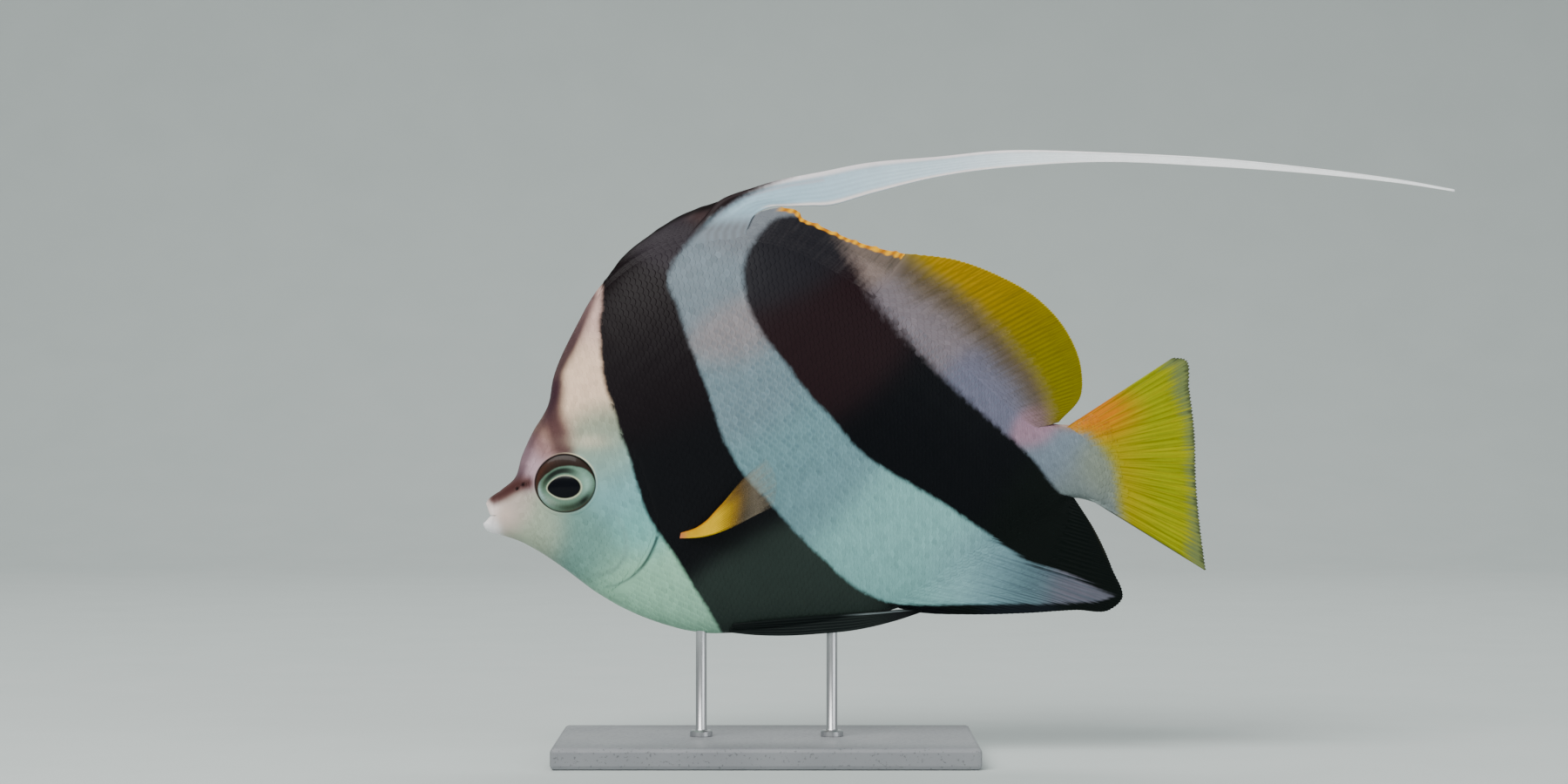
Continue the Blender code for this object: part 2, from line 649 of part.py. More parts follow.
def make_stand(where, look):
    work = bmesh.new()
    bmesh.ops.create_cube(work, size=1.0)
    for vert in work.verts:
        vert.co.x *= BASE_LENGTH * MM
        vert.co.y *= BASE_WIDTH * MM
        vert.co.z = (vert.co.z + 0.5) * BASE_THICK * MM
    mesh = bpy.data.meshes.new("stand_base")
    work.to_mesh(mesh)
    work.free()
    mesh.materials.append(look["stand_base"])
    base = bpy.data.objects.new("stand_base", mesh)
    where.objects.link(base)
    bevel = base.modifiers.new("rounded edges", "BEVEL")
    bevel.width = BASE_BEVEL * MM
    bevel.segments = 2
    belly = SECTION(np.linspace(0, LAST_SECTION, 900))[:, 2:4]
    for name, x in ROD_PLACES.items():
        near = belly[np.abs(belly[:, 0] - x) < ROD_RADIUS + ROD_CLEAR]
        bottom = BASE_THICK + GAP
        top = near[:, 1].min() - GAP
        work = bmesh.new()
        bmesh.ops.create_cone(work, cap_ends=True, segments=24, radius1=ROD_RADIUS * MM,
                              radius2=ROD_RADIUS * MM, depth=(top - bottom) * MM)
        mesh = bpy.data.meshes.new(name)
        work.to_mesh(mesh)
        work.free()
        mesh.materials.append(look["stand_rod"])
        mesh.shade_smooth()
        mesh.set_sharp_from_angle(angle=math.radians(40))
        rod = bpy.data.objects.new(name, mesh)
        rod.location = (x * MM, 0, (top + bottom) / 2 * MM)
        where.objects.link(rod)


def make_fish(where, cutters, look):
    skin = look["pale_skin"]
    half_gap = GAP / 2
    head = flesh_block("head", np.zeros_like, cut_line(GILL_SLIT, -half_gap), HEAD_GRID, where, skin)
    trunk = flesh_block("trunk", cut_line(GILL_SLIT, half_gap), cut_line(PEDUNCLE_FRONT, -half_gap),
                        TRUNK_GRID, where, skin)
    flesh_block("peduncle", cut_line(PEDUNCLE_FRONT, half_gap), cut_line(TAIL_ROOT, 0.0),
                PEDUNCLE_GRID, where, skin)
    make_lip("upper_lip", UPPER_LIP, where, look["lip_skin"])
    make_lip("lower_lip", LOWER_LIP, where, look["lip_skin"])
    for word, side in (("left", -1), ("right", 1)):
        centre, outward = eye_place(side)
        radii = (*EYE_RADII, EYE_DEEP, EYE_DOME)
        ball("eye_" + word, centre, outward, radii, where, look["eye"])
        socket = [radius + GAP for radius in radii]
        ball("socket_" + word, centre, outward, socket, cutters, None)
        make_gill_cover("gill_cover_" + word, side, where, cutters, skin)
        for number, place in enumerate(NOSTRILS):
            pit(f"nostril_{word}_{number}", place, side, cutters)
        make_pectoral("pectoral_" + word, side, where, look["yellow_fin"])
        make_pelvic("pelvic_" + word, side, where, look["dark_fin"])
    cut_away(head, cutters)
    make_fins(where, look)
    make_banner(where, look)
    for target in (head, trunk):
        paint_bands(target, look["dark_skin"])


def main():
    clear_scene()
    where = collection("schooling_bannerfish")
    cutters = collection("cutters", shown=False)
    look = {
        "pale_skin": material("pale_skin", SKIN_PALE, 0.42),
        "dark_skin": material("dark_skin", SKIN_DARK, 0.40),
        "dark_fin": material("dark_fin", SKIN_DARK, 0.45),
        "yellow_fin": material("yellow_fin", FIN_YELLOW, 0.45),
        "white_fin": material("white_fin", FIN_WHITE, 0.45),
        "lip_skin": material("lip_skin", LIP_PINK, 0.38),
        "eye": material("eye", EYE_DARK, 0.08),
        "stand_base": material("stand_base", STAND_GREY, 0.5),
        "stand_rod": material("stand_rod", ROD_STEEL, 0.3, 1.0),
    }
    make_fish(where, cutters, look)
    make_stand(where, look)


main()
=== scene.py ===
import math

import bmesh
import bpy
import numpy as np
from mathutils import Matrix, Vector


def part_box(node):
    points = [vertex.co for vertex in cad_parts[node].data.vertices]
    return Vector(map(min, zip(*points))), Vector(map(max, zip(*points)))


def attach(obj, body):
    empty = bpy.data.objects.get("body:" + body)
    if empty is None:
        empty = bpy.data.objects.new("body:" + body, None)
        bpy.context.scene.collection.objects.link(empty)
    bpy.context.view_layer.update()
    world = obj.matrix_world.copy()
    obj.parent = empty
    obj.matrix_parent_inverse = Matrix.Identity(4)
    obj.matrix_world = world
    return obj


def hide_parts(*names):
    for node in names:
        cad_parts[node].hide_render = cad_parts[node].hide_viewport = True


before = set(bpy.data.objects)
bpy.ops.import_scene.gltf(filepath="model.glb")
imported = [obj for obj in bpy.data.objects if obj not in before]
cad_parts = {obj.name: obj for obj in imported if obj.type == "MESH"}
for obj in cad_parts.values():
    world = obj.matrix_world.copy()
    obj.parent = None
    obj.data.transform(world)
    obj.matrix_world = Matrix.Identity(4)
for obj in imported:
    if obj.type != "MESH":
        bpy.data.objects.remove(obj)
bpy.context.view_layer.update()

# The flesh
# Muscle over a short, deep skeleton gives the fish its form: deep from back to belly and thin from
# side to side. It is the base that the skin, the scales and the roots of all the fins sit on.
MM = 0.001

# Sections from the mouth to the tail root, each from a point on the back to one on the belly: back x,
# back z, belly x, belly z, half width, half width at the back edge and at the belly edge, and how
# lean the section is towards the back and towards the belly (0.5 is an ellipse).
SECTIONS = (
    (-61.4, 61.0, -61.8, 51.6, 3.2, 0.5, 0.5, 0.50, 0.50),
    (-57.8, 64.2, -56.8, 50.0, 4.5, 0.5, 0.5, 0.50, 0.50),
    (-56.2, 69.2, -51.6, 47.2, 5.7, 0.5, 0.6, 0.52, 0.52),
    (-53.6, 74.8, -46.0, 43.4, 6.9, 0.5, 0.6, 0.55, 0.55),
    (-50.2, 80.8, -39.6, 38.6, 8.0, 0.5, 0.6, 0.58, 0.55),
    (-48.6, 88.4, -32.0, 34.2, 9.0, 0.5, 0.6, 0.60, 0.56),
    (-44.2, 98.0, -23.2, 30.8, 10.0, 0.6, 0.6, 0.62, 0.58),
    (-38.2, 107.8, -14.8, 29.0, 10.9, 1.0, 0.6, 0.68, 0.60),
    (-29.0, 115.2, -6.4, 29.0, 11.5, 1.5, 0.6, 0.76, 0.60),
    (-17.0, 119.6, 2.0, 29.6, 11.7, 1.5, 0.6, 0.80, 0.62),
    (-4.0, 120.8, 10.0, 30.4, 11.4, 1.5, 0.6, 0.82, 0.66),
    (8.0, 118.0, 18.0, 31.8, 10.6, 1.5, 0.7, 0.84, 0.70),
    (20.0, 111.6, 25.6, 33.6, 9.6, 1.5, 1.0, 0.84, 0.76),
    (32.0, 103.6, 33.2, 36.4, 8.4, 1.5, 1.5, 0.84, 0.82),
    (43.0, 94.8, 42.8, 42.4, 7.0, 1.5, 1.5, 0.80, 0.80),
    (52.0, 86.8, 52.4, 49.0, 5.6, 1.5, 1.5, 0.74, 0.74),
    (59.0, 80.4, 61.6, 55.4, 4.5, 1.5, 1.5, 0.66, 0.66),
    (65.0, 76.4, 69.2, 60.2, 3.6, 1.2, 1.2, 0.55, 0.55),
    (75.6, 76.2, 80.2, 57.4, 2.6, 0.8, 0.8, 0.50, 0.50),
)
LAST_SECTION = len(SECTIONS) - 1
ACROSS = np.array([0.0, 1.0, 0.0])


def hermite(values, slopes, knots, at):
    """Cubic curve through values at knots with the slopes given, read at the places at."""
    at = np.clip(np.asarray(at, float), knots[0], knots[-1])
    left = np.clip(np.searchsorted(knots, at, side="right") - 1, 0, len(knots) - 2)
    step = (knots[left + 1] - knots[left])[..., None]
    part = (at - knots[left])[..., None] / step
    return (
        values[left] * (1 + 2 * part) * (1 - part) ** 2
        + slopes[left] * step * part * (1 - part) ** 2
        + values[left + 1] * part**2 * (3 - 2 * part)
        + slopes[left + 1] * step * part**2 * (part - 1)
    )


def table_curve(rows):
    """A smooth reading of a table, by its row number."""
    values = np.array(rows, float)
    slopes = np.gradient(values, axis=0)
    return lambda at: hermite(values, slopes, np.arange(len(values), dtype=float), at)


def line_curve(points):
    """A smooth line through points, by the share of its length."""
    values = np.array(points, float)
    lengths = np.linalg.norm(np.diff(values, axis=0), axis=1)
    knots = np.concatenate(([0.0], np.cumsum(lengths))) / lengths.sum()
    slopes = np.gradient(values, knots, axis=0)
    return lambda at: hermite(values, slopes, knots, at)


def drawn(points, count):
    """Places at even shares of a smooth line through points."""
    return line_curve(points)(np.linspace(0, 1, count))


section = table_curve(SECTIONS)


def flesh(along, up):
    """Place and half width of the flesh: along counts sections, up runs from -1, belly, to 1, back."""
    row = section(along)
    share = ((up + 1) / 2)[..., None]
    place = row[..., 2:4] * (1 - share) + row[..., 0:2] * share
    back = up > 0
    edge = np.where(back, row[..., 5], row[..., 6])
    lean = np.where(back, row[..., 7], row[..., 8])
    return place, edge + (row[..., 4] - edge) * np.maximum(1 - up**2, 0.0) ** lean


HALVINGS = 30  # of the search for the section that a place lies on


def locate(place):
    """The sections along and the height up of places on the side of the fish."""
    place = np.asarray(place, float)
    low = np.zeros(place.shape[:-1])
    high = np.full(place.shape[:-1], float(LAST_SECTION))
    for _ in range(HALVINGS):
        middle = (low + high) / 2
        row = section(middle)
        line = row[..., 0:2] - row[..., 2:4]
        away = place - row[..., 2:4]
        ahead = line[..., 0] * away[..., 1] - line[..., 1] * away[..., 0] > 0
        high = np.where(ahead, middle, high)
        low = np.where(ahead, low, middle)
    row = section(low)
    line = row[..., 0:2] - row[..., 2:4]
    share = ((place - row[..., 2:4]) * line).sum(-1) / (line**2).sum(-1)
    return low, np.clip(2 * share - 1, -1, 1)


def half_width(place):
    return flesh(*locate(place))[1]


def side_normal(place, side):
    """Outward direction of the flesh at a place on the left side (-1) or the right one (1)."""
    step = 0.5
    place = np.asarray(place, float)
    across = (half_width(place + (step, 0)) - half_width(place - (step, 0))) / (2 * step)
    upward = (half_width(place + (0, step)) - half_width(place - (0, step))) / (2 * step)
    normal = np.stack([-across, np.full_like(across, side), -upward], -1)
    return normal / np.linalg.norm(normal, axis=-1, keepdims=True)


def smooth_step(low, high, at):
    share = np.clip((at - low) / (high - low), 0, 1)
    return share * share * (3 - 2 * share)


def hump(at, width):
    """A soft bell of height 1."""
    return np.exp(-((at / width) ** 2))


def stroke(gap, full, fade):
    """A mark of full strength within one distance of its line, which fades over another."""
    return 1 - smooth_step(full, full + fade, np.abs(gap))


FAR_AWAY = 1e9


def beside_line(line, flat):
    """Distance to a line of points, positive on its left, and the share of its length there."""
    line = np.asarray(line, float)
    runs = np.diff(line, axis=0)
    lengths = np.linalg.norm(runs, axis=1)
    travelled = np.concatenate(([0.0], np.cumsum(lengths)))
    best = np.full(flat.shape[:-1], FAR_AWAY)
    side = np.ones(flat.shape[:-1])
    share = np.zeros(flat.shape[:-1])
    for start, run, length, before in zip(line, runs, lengths, travelled):
        away = flat - start
        part = np.clip((away @ run) / length**2, 0, 1)
        gap = ((away - part[..., None] * run) ** 2).sum(-1)
        nearer = gap < best
        turn = run[0] * away[..., 1] - run[1] * away[..., 0]
        best = np.where(nearer, gap, best)
        side = np.where(nearer, np.where(turn >= 0, 1.0, -1.0), side)
        share = np.where(nearer, (before + part * length) / travelled[-1], share)
    return np.sqrt(best) * side, share


# The markings
# Pigment cells in the skin and scales make the black bands, the blue-grey and pink of the pale
# bands, the yellow of the fins and the brown of the brow. Each edge is a named curve, in millimetres,
# that the skin, the scales and the fins all read, so that the pattern runs on from one to the next.
def linear(hexadecimal):
    """A linear colour from an sRGB hex value."""
    parts = [int(hexadecimal[k:k + 2], 16) / 255 for k in (1, 3, 5)]
    return np.array([p / 12.92 if p <= 0.04045 else ((p + 0.055) / 1.055) ** 2.4 for p in parts])


def washed(colour, value, amount):
    """A colour with another laid over it, by an amount from 0 to 1."""
    amount = np.clip(amount, 0, 1)[..., None]
    return colour * (1 - amount) + linear(value) * amount


def layered(colour, marks):
    """A colour with marks laid over it in turn, each a hex value and its amount."""
    for value, amount in marks:
        colour = washed(colour, value, amount)
    return colour


def blot(flat, x, z, half_long, half_high):
    """A soft round or oval spot of strength 1 at a place."""
    return np.exp(-(((flat[..., 0] - x) / half_long) ** 2 + ((flat[..., 1] - z) / half_high) ** 2))


# Each band edge: its x, z from the back down, and the width in mm over which it fades, from its
# upper end to its lower one.
FRONT_BAND_FRONT = (
    ((-41.6, 115.0), (-38.4, 109.6), (-38.2, 98.0), (-37.6, 91.0), (-37.0, 86.4), (-35.8, 82.8),
     (-34.5, 79.6), (-33.4, 75.4), (-31.2, 69.6), (-29.4, 63.2), (-27.4, 57.0), (-25.4, 53.4), (-23.0, 50.0),
     (-20.0, 45.4), (-17.2, 40.6), (-14.0, 35.4), (-11.6, 31.2), (-9.0, 26.0)),
    (2.2, 1.4, 1.2, 1.2),
)
FRONT_BAND_REAR = (
    ((16.0, 136.4), (8.6, 134.4), (4.3, 132.9), (-1.8, 130.2), (-8.0, 126.6), (-13.4, 122.8), (-16.6, 119.4),
     (-20.6, 114.6), (-22.2, 111.4), (-22.4, 108.4), (-20.6, 104.6), (-17.8, 96.0), (-16.0, 91.4),
     (-12.4, 82.0), (-9.8, 73.8), (-7.4, 69.2), (-5.0, 65.2), (0.0, 59.8), (5.2, 53.8), (13.0, 46.0),
     (20.4, 39.4), (28.2, 35.8), (36.0, 34.6), (60.0, 34.4), (84.0, 34.4)),
    (1.2, 2.8, 2.0, 1.3, 1.3, 1.3, 1.3, 1.2, 0.8),
)
REAR_BAND_FRONT = (
    ((18.0, 124.6), (8.0, 124.4), (3.2, 124.2), (1.2, 123.4), (-0.8, 121.2), (-3.8, 116.8), (-5.2, 113.2),
     (-5.4, 110.0), (-4.6, 105.4), (-1.0, 97.2), (4.0, 90.8), (10.4, 82.4), (15.6, 77.2), (18.0, 74.0),
     (40.0, 58.6), (47.0, 54.0), (53.2, 49.8), (60.8, 44.6), (67.6, 42.8), (73.6, 40.0), (79.4, 37.0),
     (84.0, 35.4)),
    (0.6, 2.2, 1.9, 1.5, 1.3, 1.3, 1.3, 1.4),
)
REAR_BAND_REAR = (
    ((15.0, 126.0), (17.0, 119.0), (21.4, 112.0), (23.8, 107.2), (31.0, 98.0), (38.8, 89.2), (46.6, 81.6),
     (55.2, 74.2), (60.6, 69.0), (66.2, 62.0), (69.0, 59.0), (72.0, 56.6), (92.0, 52.0)),
    (6.0, 5.4, 3.6, 2.0, 1.4, 0.9, 0.6),
)
EDGE_STEPS = 64
DEPTH_MOST = 8.0  # the most that a depth in a band counts, in shares of half its fade


def edge_depth(edge, flat, inside):
    """How far inside an edge of a band each place lies, in shares of half its fade."""
    points, fades = edge
    line = drawn(points, EDGE_STEPS)
    gap, share = beside_line(line, flat)
    return inside * gap * 2 / np.interp(share, np.linspace(0, 1, len(fades)), fades)


def front_blackness(flat):
    return np.minimum(edge_depth(FRONT_BAND_FRONT, flat, 1), edge_depth(FRONT_BAND_REAR, flat, -1))


def blackness(flat):
    """Over 1 within the black bands, under -1 outside them, and between in their fading edges."""
    front = front_blackness(flat)
    rear = np.minimum(edge_depth(REAR_BAND_FRONT, flat, 1), edge_depth(REAR_BAND_REAR, flat, -1))
    return np.clip(np.maximum(front, rear), -DEPTH_MOST, DEPTH_MOST)


# Colours of the pale skin by region: hex value, x, z and how far the colour spreads, in mm. Each was
# set from the tone that the photograph shows there, and then corrected from one render to the next.
PALE_PLACES = (
    ("#FAE8E2", -63.8, 57.6, 2.2),  # upper lip
    ("#FFFCFF", -64.2, 53.2, 2.4),  # lower lip
    ("#B6A69C", -58.0, 56.5, 3.6),  # side of the snout
    ("#A2AE98", -52.0, 52.0, 5.0),  # chin
    ("#B0949E", -54.8, 67.4, 3.4),  # brow in front of the eye
    ("#EAC8AC", -43.0, 88.0, 7.5),  # forehead
    ("#CBA89E", -41.0, 101.0, 6.0),  # top of the forehead
    ("#8E9884", -38.0, 75.0, 5.0),  # temple
    ("#839E94", -36.0, 68.5, 5.0),  # between the temple and the gill cover
    ("#74A4A6", -33.0, 61.0, 6.0),  # behind the eye
    ("#688E86", -41.0, 50.0, 7.0),  # cheek
    ("#72AEAA", -29.0, 53.0, 5.0),  # gill cover
    ("#94C4A8", -27.0, 37.0, 10.0),  # throat and breast
    ("#6C7076", -9.0, 122.0, 5.0),  # root of the banner
    ("#6C7880", -15.0, 110.0, 7.0),  # top of the middle pale band
    ("#827A7C", -7.0, 97.0, 5.5),  # pinkish patch on the middle pale band
    ("#6C8088", -3.0, 84.0, 8.0),  # upper half of the middle pale band
    ("#688A90", 8.0, 68.0, 10.0),  # middle of the middle pale band
    ("#7CAEAC", 30.0, 46.0, 11.0),  # lower half of the middle pale band
    ("#80AAAE", 44.0, 43.0, 6.0),  # over the middle of the anal fin
    ("#6C8E96", 52.0, 41.0, 6.0),  # front of the anal fin's pale wedge
    ("#526A72", 59.0, 39.5, 5.5),  # middle of the anal fin's pale wedge
    ("#5E5C68", 70.0, 38.0, 5.0),  # tip of the anal fin's pale wedge
    ("#7A6A64", 23.0, 115.0, 4.0),  # rear pale band, beside the spines
    ("#72696F", 36.0, 101.0, 8.0),  # middle of the rear pale band
    ("#626274", 50.0, 85.0, 6.0),  # lower part of the rear pale band
    ("#8E7080", 61.5, 75.4, 2.8),  # pink top of the tail root
    ("#6A7682", 65.5, 68.0, 4.5),  # side of the tail root
    ("#707A7A", 71.0, 64.0, 4.5),  # rear of the tail root
    ("#767E6E", 75.0, 66.0, 3.5),  # scaled root of the tail fin
)


def blended(places, flat):
    """A colour at each place, blended from named places by how near they are."""
    total = np.full(flat.shape[:-1], 1e-9)
    colour = np.zeros((*flat.shape[:-1], 3))
    for value, x, z, spread in places:
        weight = np.exp(-((flat[..., 0] - x) ** 2 + (flat[..., 1] - z) ** 2) / spread**2) + 1e-7
        total += weight
        colour += weight[..., None] * linear(value)
    return colour / total[..., None]


def pale_tone(flat):
    """Colour of the pale skin, with some orange at the top of the tail root."""
    return washed(blended(PALE_PLACES, flat), "#C07830", 0.7 * blot(flat, 70.5, 77.2, 3.8, 1.6))


HEAD_END = -8.0  # x behind which the head has no marks and no relief
BROW_LINE = ((-64.6, 58.9), (-60.6, 61.8), (-57.8, 64.4), (-56.4, 68.6), (-54.4, 74.2), (-51.2, 79.8),
             (-49.4, 84.4), (-48.6, 89.0), (-45.6, 94.8), (-41.0, 106.0))
BROW_PATCH = ((-48.8, 85.0), (-48.8, 81.0), (-48.6, 77.0), (-47.4, 73.6), (-46.0, 70.2))
SNOUT_LINE = ((-62.4, 59.8), (-60.2, 60.8), (-57.4, 62.4), (-54.6, 63.2))
COVER_LINE = ((-28.6, 60.0), (-25.2, 56.0), (-24.6, 52.0), (-26.4, 47.4), (-28.6, 43.8), (-31.4, 41.4),
              (-34.6, 39.9), (-38.6, 39.2))
CHEEK_LINE = ((-36.4, 58.6), (-33.2, 54.4), (-31.8, 49.4), (-33.2, 45.0), (-37.2, 42.4), (-42.4, 42.6))


def face_tone(flat, colour):
    """Brow line, eye patch, snout streak and the dark edge of the gill cover."""
    brow, share = beside_line(drawn(BROW_LINE, 60), flat)
    width = np.interp(share, (0.0, 0.15, 0.3, 0.5, 0.62, 0.8, 1.0), (0.8, 1.2, 1.3, 2.0, 1.6, 1.3, 1.2))
    strength = np.interp(share, (0.015, 0.04, 0.14, 0.24, 0.4, 0.52, 0.8, 1.0),
                         (0.0, 0.95, 0.97, 0.60, 0.74, 0.95, 0.95, 0.8))
    patch, _ = beside_line(drawn(BROW_PATCH, 30), flat)
    snout, _ = beside_line(drawn(SNOUT_LINE, 20), flat)
    around = np.hypot((flat[..., 0] + 49.0) / 5.6, (flat[..., 1] - 73.6) / 6.2)
    cover, share = beside_line(drawn(COVER_LINE, 50), flat)
    edge = np.interp(share, (0.0, 0.2, 0.35, 0.7, 0.9, 1.0), (0.0, 0.3, 0.75, 0.6, 0.3, 0.0))
    cheek, share = beside_line(drawn(CHEEK_LINE, 40), flat)
    return layered(colour, (
        ("#86625C", 0.80 * (1 - smooth_step(0.50, 1.30, around))),  # brown round the brow patch
        ("#4E3234", 0.92 * stroke(patch, 0.5, 3.4)),  # the brow patch itself
        ("#38202A", strength * hump(np.maximum(-brow - 1.2, 0), width)),  # brow line
        ("#563430", 0.92 * stroke(snout, 0.3, 2.6)),  # snout streak, then its dark middle
        ("#3A2020", 0.70 * stroke(snout, 0.0, 1.5)),
        ("#D9C0B4", 0.55 * blot(flat, -59.8, 55.6, 2.6, 2.4)),  # pale corner of the mouth
        ("#E0CDB2", 0.45 * blot(flat, -40.4, 72.8, 4.5, 1.6)),  # cream fleck behind the brow
        ("#38484E", edge * hump(cover, 0.30)),  # shaded edge of the gill cover
        ("#7D968F", 0.3 * np.sin(math.pi * share) * hump(cheek, 0.6)),  # fold of the cheek
    ))


def head_tone(flat, colour):
    """The face's marks laid over the pale skin, which has none behind the head."""
    near = flat[..., 0] < HEAD_END
    colour = colour.copy()
    colour[near] = face_tone(flat[near], colour[near])
    return colour


DARK_PLACES = (
    ("#282228", -24.0, 119.0, 4.5),  # top of the front band, along the spines
    ("#241A1C", -10.0, 127.5, 5.0),  # root of the banner's spine
    ("#0C0407", -33.0, 104.0, 8.0),  # upper part of the front band
    ("#100A0E", -26.0, 86.0, 9.0),  # below the top of the front band
    ("#08090D", -17.0, 66.0, 10.0),  # middle of the front band
    ("#28322E", 2.0, 35.0, 8.0),  # foot of the front band
    ("#1B1A1F", 5.0, 116.0, 7.0),  # top of the rear band
    ("#1C0E12", 16.0, 96.0, 9.0),  # brown upper part of the rear band
    ("#010307", 38.0, 72.0, 12.0),  # middle of the rear band
    ("#030907", 68.0, 52.0, 10.0),  # rear lobe of the anal fin
    ("#0C1218", 60.0, 33.5, 4.0),  # hem of the anal fin
)


def dark_tone(flat):
    """Colour of the black skin: brown towards the back, blue-black and green-black lower down."""
    return blended(DARK_PLACES, flat)


# The skin
# Live skin, thin and tight, runs in one piece from the lips over head, gill covers, trunk and tail
# root. It folds in at the mouth, the nostrils, the rim of the eye and the slit of the gill cover.
SKIN_UNDER = 0.08  # how far it lies inside the solids, to leave room for the scales
SKIN_ROWS = 200  # from belly to back
HEAD_COLUMNS = 150
TRUNK_COLUMNS = 240
GILL_SLIT = (
    (-40.6, 104.0), (-33.6, 80.0), (-27.2, 64.0), (-24.6, 54.0),
    (-26.4, 47.4), (-31.0, 41.6), (-35.8, 36.4),
)
TAIL_ROOT = ((69.4, 76.3), (73.6, 73.2), (76.2, 68.2), (77.1, 63.0), (75.9, 58.3))
SLIT_REACH = (0.66, 0.75, 0.82, 0.92)  # shares of the slit: where the gill cover's rim starts and ends
RIM_PROUD = 0.42  # rise of the gill cover's rim, in front of the slit
RIM_GROOVE = 0.30  # depth of the dip behind it
CHEEK_RISE = 0.16
CHEEK_DIP = 0.10
SOCKET_LIP = 0.04
SOCKET_DEPTH = 3.0  # under the eyeball, which hides its floor
NOSTRIL_LIP = 0.16
NOSTRIL_DEPTH = 0.8
STALK_SWELL = 0.35  # rise of the skin round the pectoral's root
RIPPLE = 0.02
EYE = (-45.8, 63.2)
EYE_RADII = (7.1, 6.7)
NOSTRILS = ((-57.0, 61.8, 0.42), (-55.5, 62.7, 0.50))
PECTORAL_ROOT = ((-19.6, 51.0), (-16.4, 53.2))


def eye_radius(flat):
    """Distance from the middle of the eye, 1 at its rim."""
    return np.hypot((flat[..., 0] - EYE[0]) / EYE_RADII[0], (flat[..., 1] - EYE[1]) / EYE_RADII[1])


def face_relief(flat):
    """Rise of the skin at the gill cover, the cheek, the eye, the nostrils and the pectoral's root."""
    slit, share = beside_line(drawn(GILL_SLIT, 60), flat)
    window = smooth_step(*SLIT_REACH[0:2], share) * (1 - smooth_step(*SLIT_REACH[2:4], share))
    before = smooth_step(-4.5, -0.1, -np.abs(slit)) * RIM_PROUD * (slit < 0)
    behind = -RIM_GROOVE * smooth_step(-1.4, 0.0, -np.abs(slit)) * (slit >= 0)
    height = window * (before + behind)
    cheek, share = beside_line(drawn(CHEEK_LINE, 40), flat)
    height = height + CHEEK_RISE * np.sin(math.pi * share) * hump(cheek + 0.5, 0.8)
    height = height - CHEEK_DIP * np.sin(math.pi * share) * hump(cheek - 0.5, 0.6)
    eye = eye_radius(flat)
    floor = SOCKET_DEPTH * (1 - smooth_step(0.93, 1.035, eye))
    height = height + SOCKET_LIP * hump(eye - 1.04, 0.07) - floor
    for x, z, radius in NOSTRILS:
        away = np.hypot(flat[..., 0] - x, flat[..., 1] - z)
        height = height + NOSTRIL_LIP * hump(away - 1.35 * radius, 0.4 * radius)
        height = height - NOSTRIL_DEPTH * np.exp(-((away / radius) ** 4))
    root = np.mean(PECTORAL_ROOT, axis=0)
    pad = np.hypot(flat[..., 0] - root[0], (flat[..., 1] - root[1]) * 0.8)
    return height + STALK_SWELL * hump(pad, 3.2)


def relief(flat):
    """How far the skin stands over the plain flesh at a place, in mm."""
    ripple = np.sin(flat[..., 0] * 0.9 + 1.3 * np.sin(flat[..., 1] * 0.31)) * np.sin(flat[..., 1] * 0.7)
    height = RIPPLE * ripple - SKIN_UNDER
    near = flat[..., 0] < HEAD_END
    height[near] += face_relief(flat[near])
    return height


def cut_line(points):
    """Along-places of a line across the flesh, as a function of up."""
    along, up = locate(line_curve(points)(np.linspace(0, 1, 90)))
    order = np.argsort(up)
    return lambda at: np.interp(at, up[order], along[order])


def grid_normals(points):
    """Outward unit vectors of a grid on the left side of the fish."""
    normal = np.cross(np.gradient(points, axis=0), np.gradient(points, axis=1))
    normal /= np.maximum(np.linalg.norm(normal, axis=-1, keepdims=True), 1e-12)
    return np.where(normal[..., 1:2] > 0, -normal, normal)


def ring_faces(rings):
    """Faces of a tube from the numbers of the points in its rings."""
    rings = np.asarray(rings)
    after = np.roll(rings, -1, axis=1)
    return np.stack([rings[:-1], after[:-1], after[1:], rings[1:]], -1).reshape(-1, 4).tolist()


def new_mesh(name, points, faces, colours=None, numbers=None):
    """An object from points in mm, with a colour or a number kept at each point."""
    mesh = bpy.data.meshes.new(name)
    mesh.from_pydata((np.asarray(points) * MM).tolist(), [], faces)
    for key, value in (colours or {}).items():
        rgba = np.ones((len(points), 4), np.float32)
        rgba[:, :3] = value
        mesh.color_attributes.new(key, "FLOAT_COLOR", "POINT").data.foreach_set("color", rgba.ravel())
    for key, value in (numbers or {}).items():
        flat = np.asarray(value, np.float32).ravel()
        mesh.attributes.new(key, "FLOAT", "POINT").data.foreach_set("value", flat)
    mesh.shade_smooth()
    made = bpy.data.objects.new(name, mesh)
    bpy.context.scene.collection.objects.link(made)
    return made


def outward_faces(made):
    """Turns all faces of a form outwards."""
    work = bmesh.new()
    work.from_mesh(made.data)
    bmesh.ops.recalc_face_normals(work, faces=work.faces)
    work.to_mesh(made.data)
    work.free()


# Rows of points lie closer towards the back and the belly, and columns closer to the mouth and the
# slit of the gill cover.
ROWS_EVEN, ROWS_DRAWN = 0.55, 0.45
HEAD_DRAWN = 0.6
TRUNK_DRAWN = 1.5
rows = np.linspace(-1, 1, SKIN_ROWS + 1)
up = ROWS_EVEN * rows + ROWS_DRAWN * np.sin(rows * math.pi / 2)
step = np.linspace(0, 1, HEAD_COLUMNS + 1)[:, None]
head_share = step - HEAD_DRAWN * np.sin(2 * math.pi * step) / (2 * math.pi)
trunk_share = np.linspace(0, 1, TRUNK_COLUMNS + 1)[1:, None] ** TRUNK_DRAWN
at_slit = cut_line(GILL_SLIT)(up)[None, :]
at_tail = cut_line(TAIL_ROOT)(up)[None, :]
along = np.concatenate([at_slit * head_share, at_slit + (at_tail - at_slit) * trunk_share])
flat, half = flesh(along, np.broadcast_to(up, along.shape))
left = np.stack([flat[..., 0], -half, flat[..., 1]], -1)
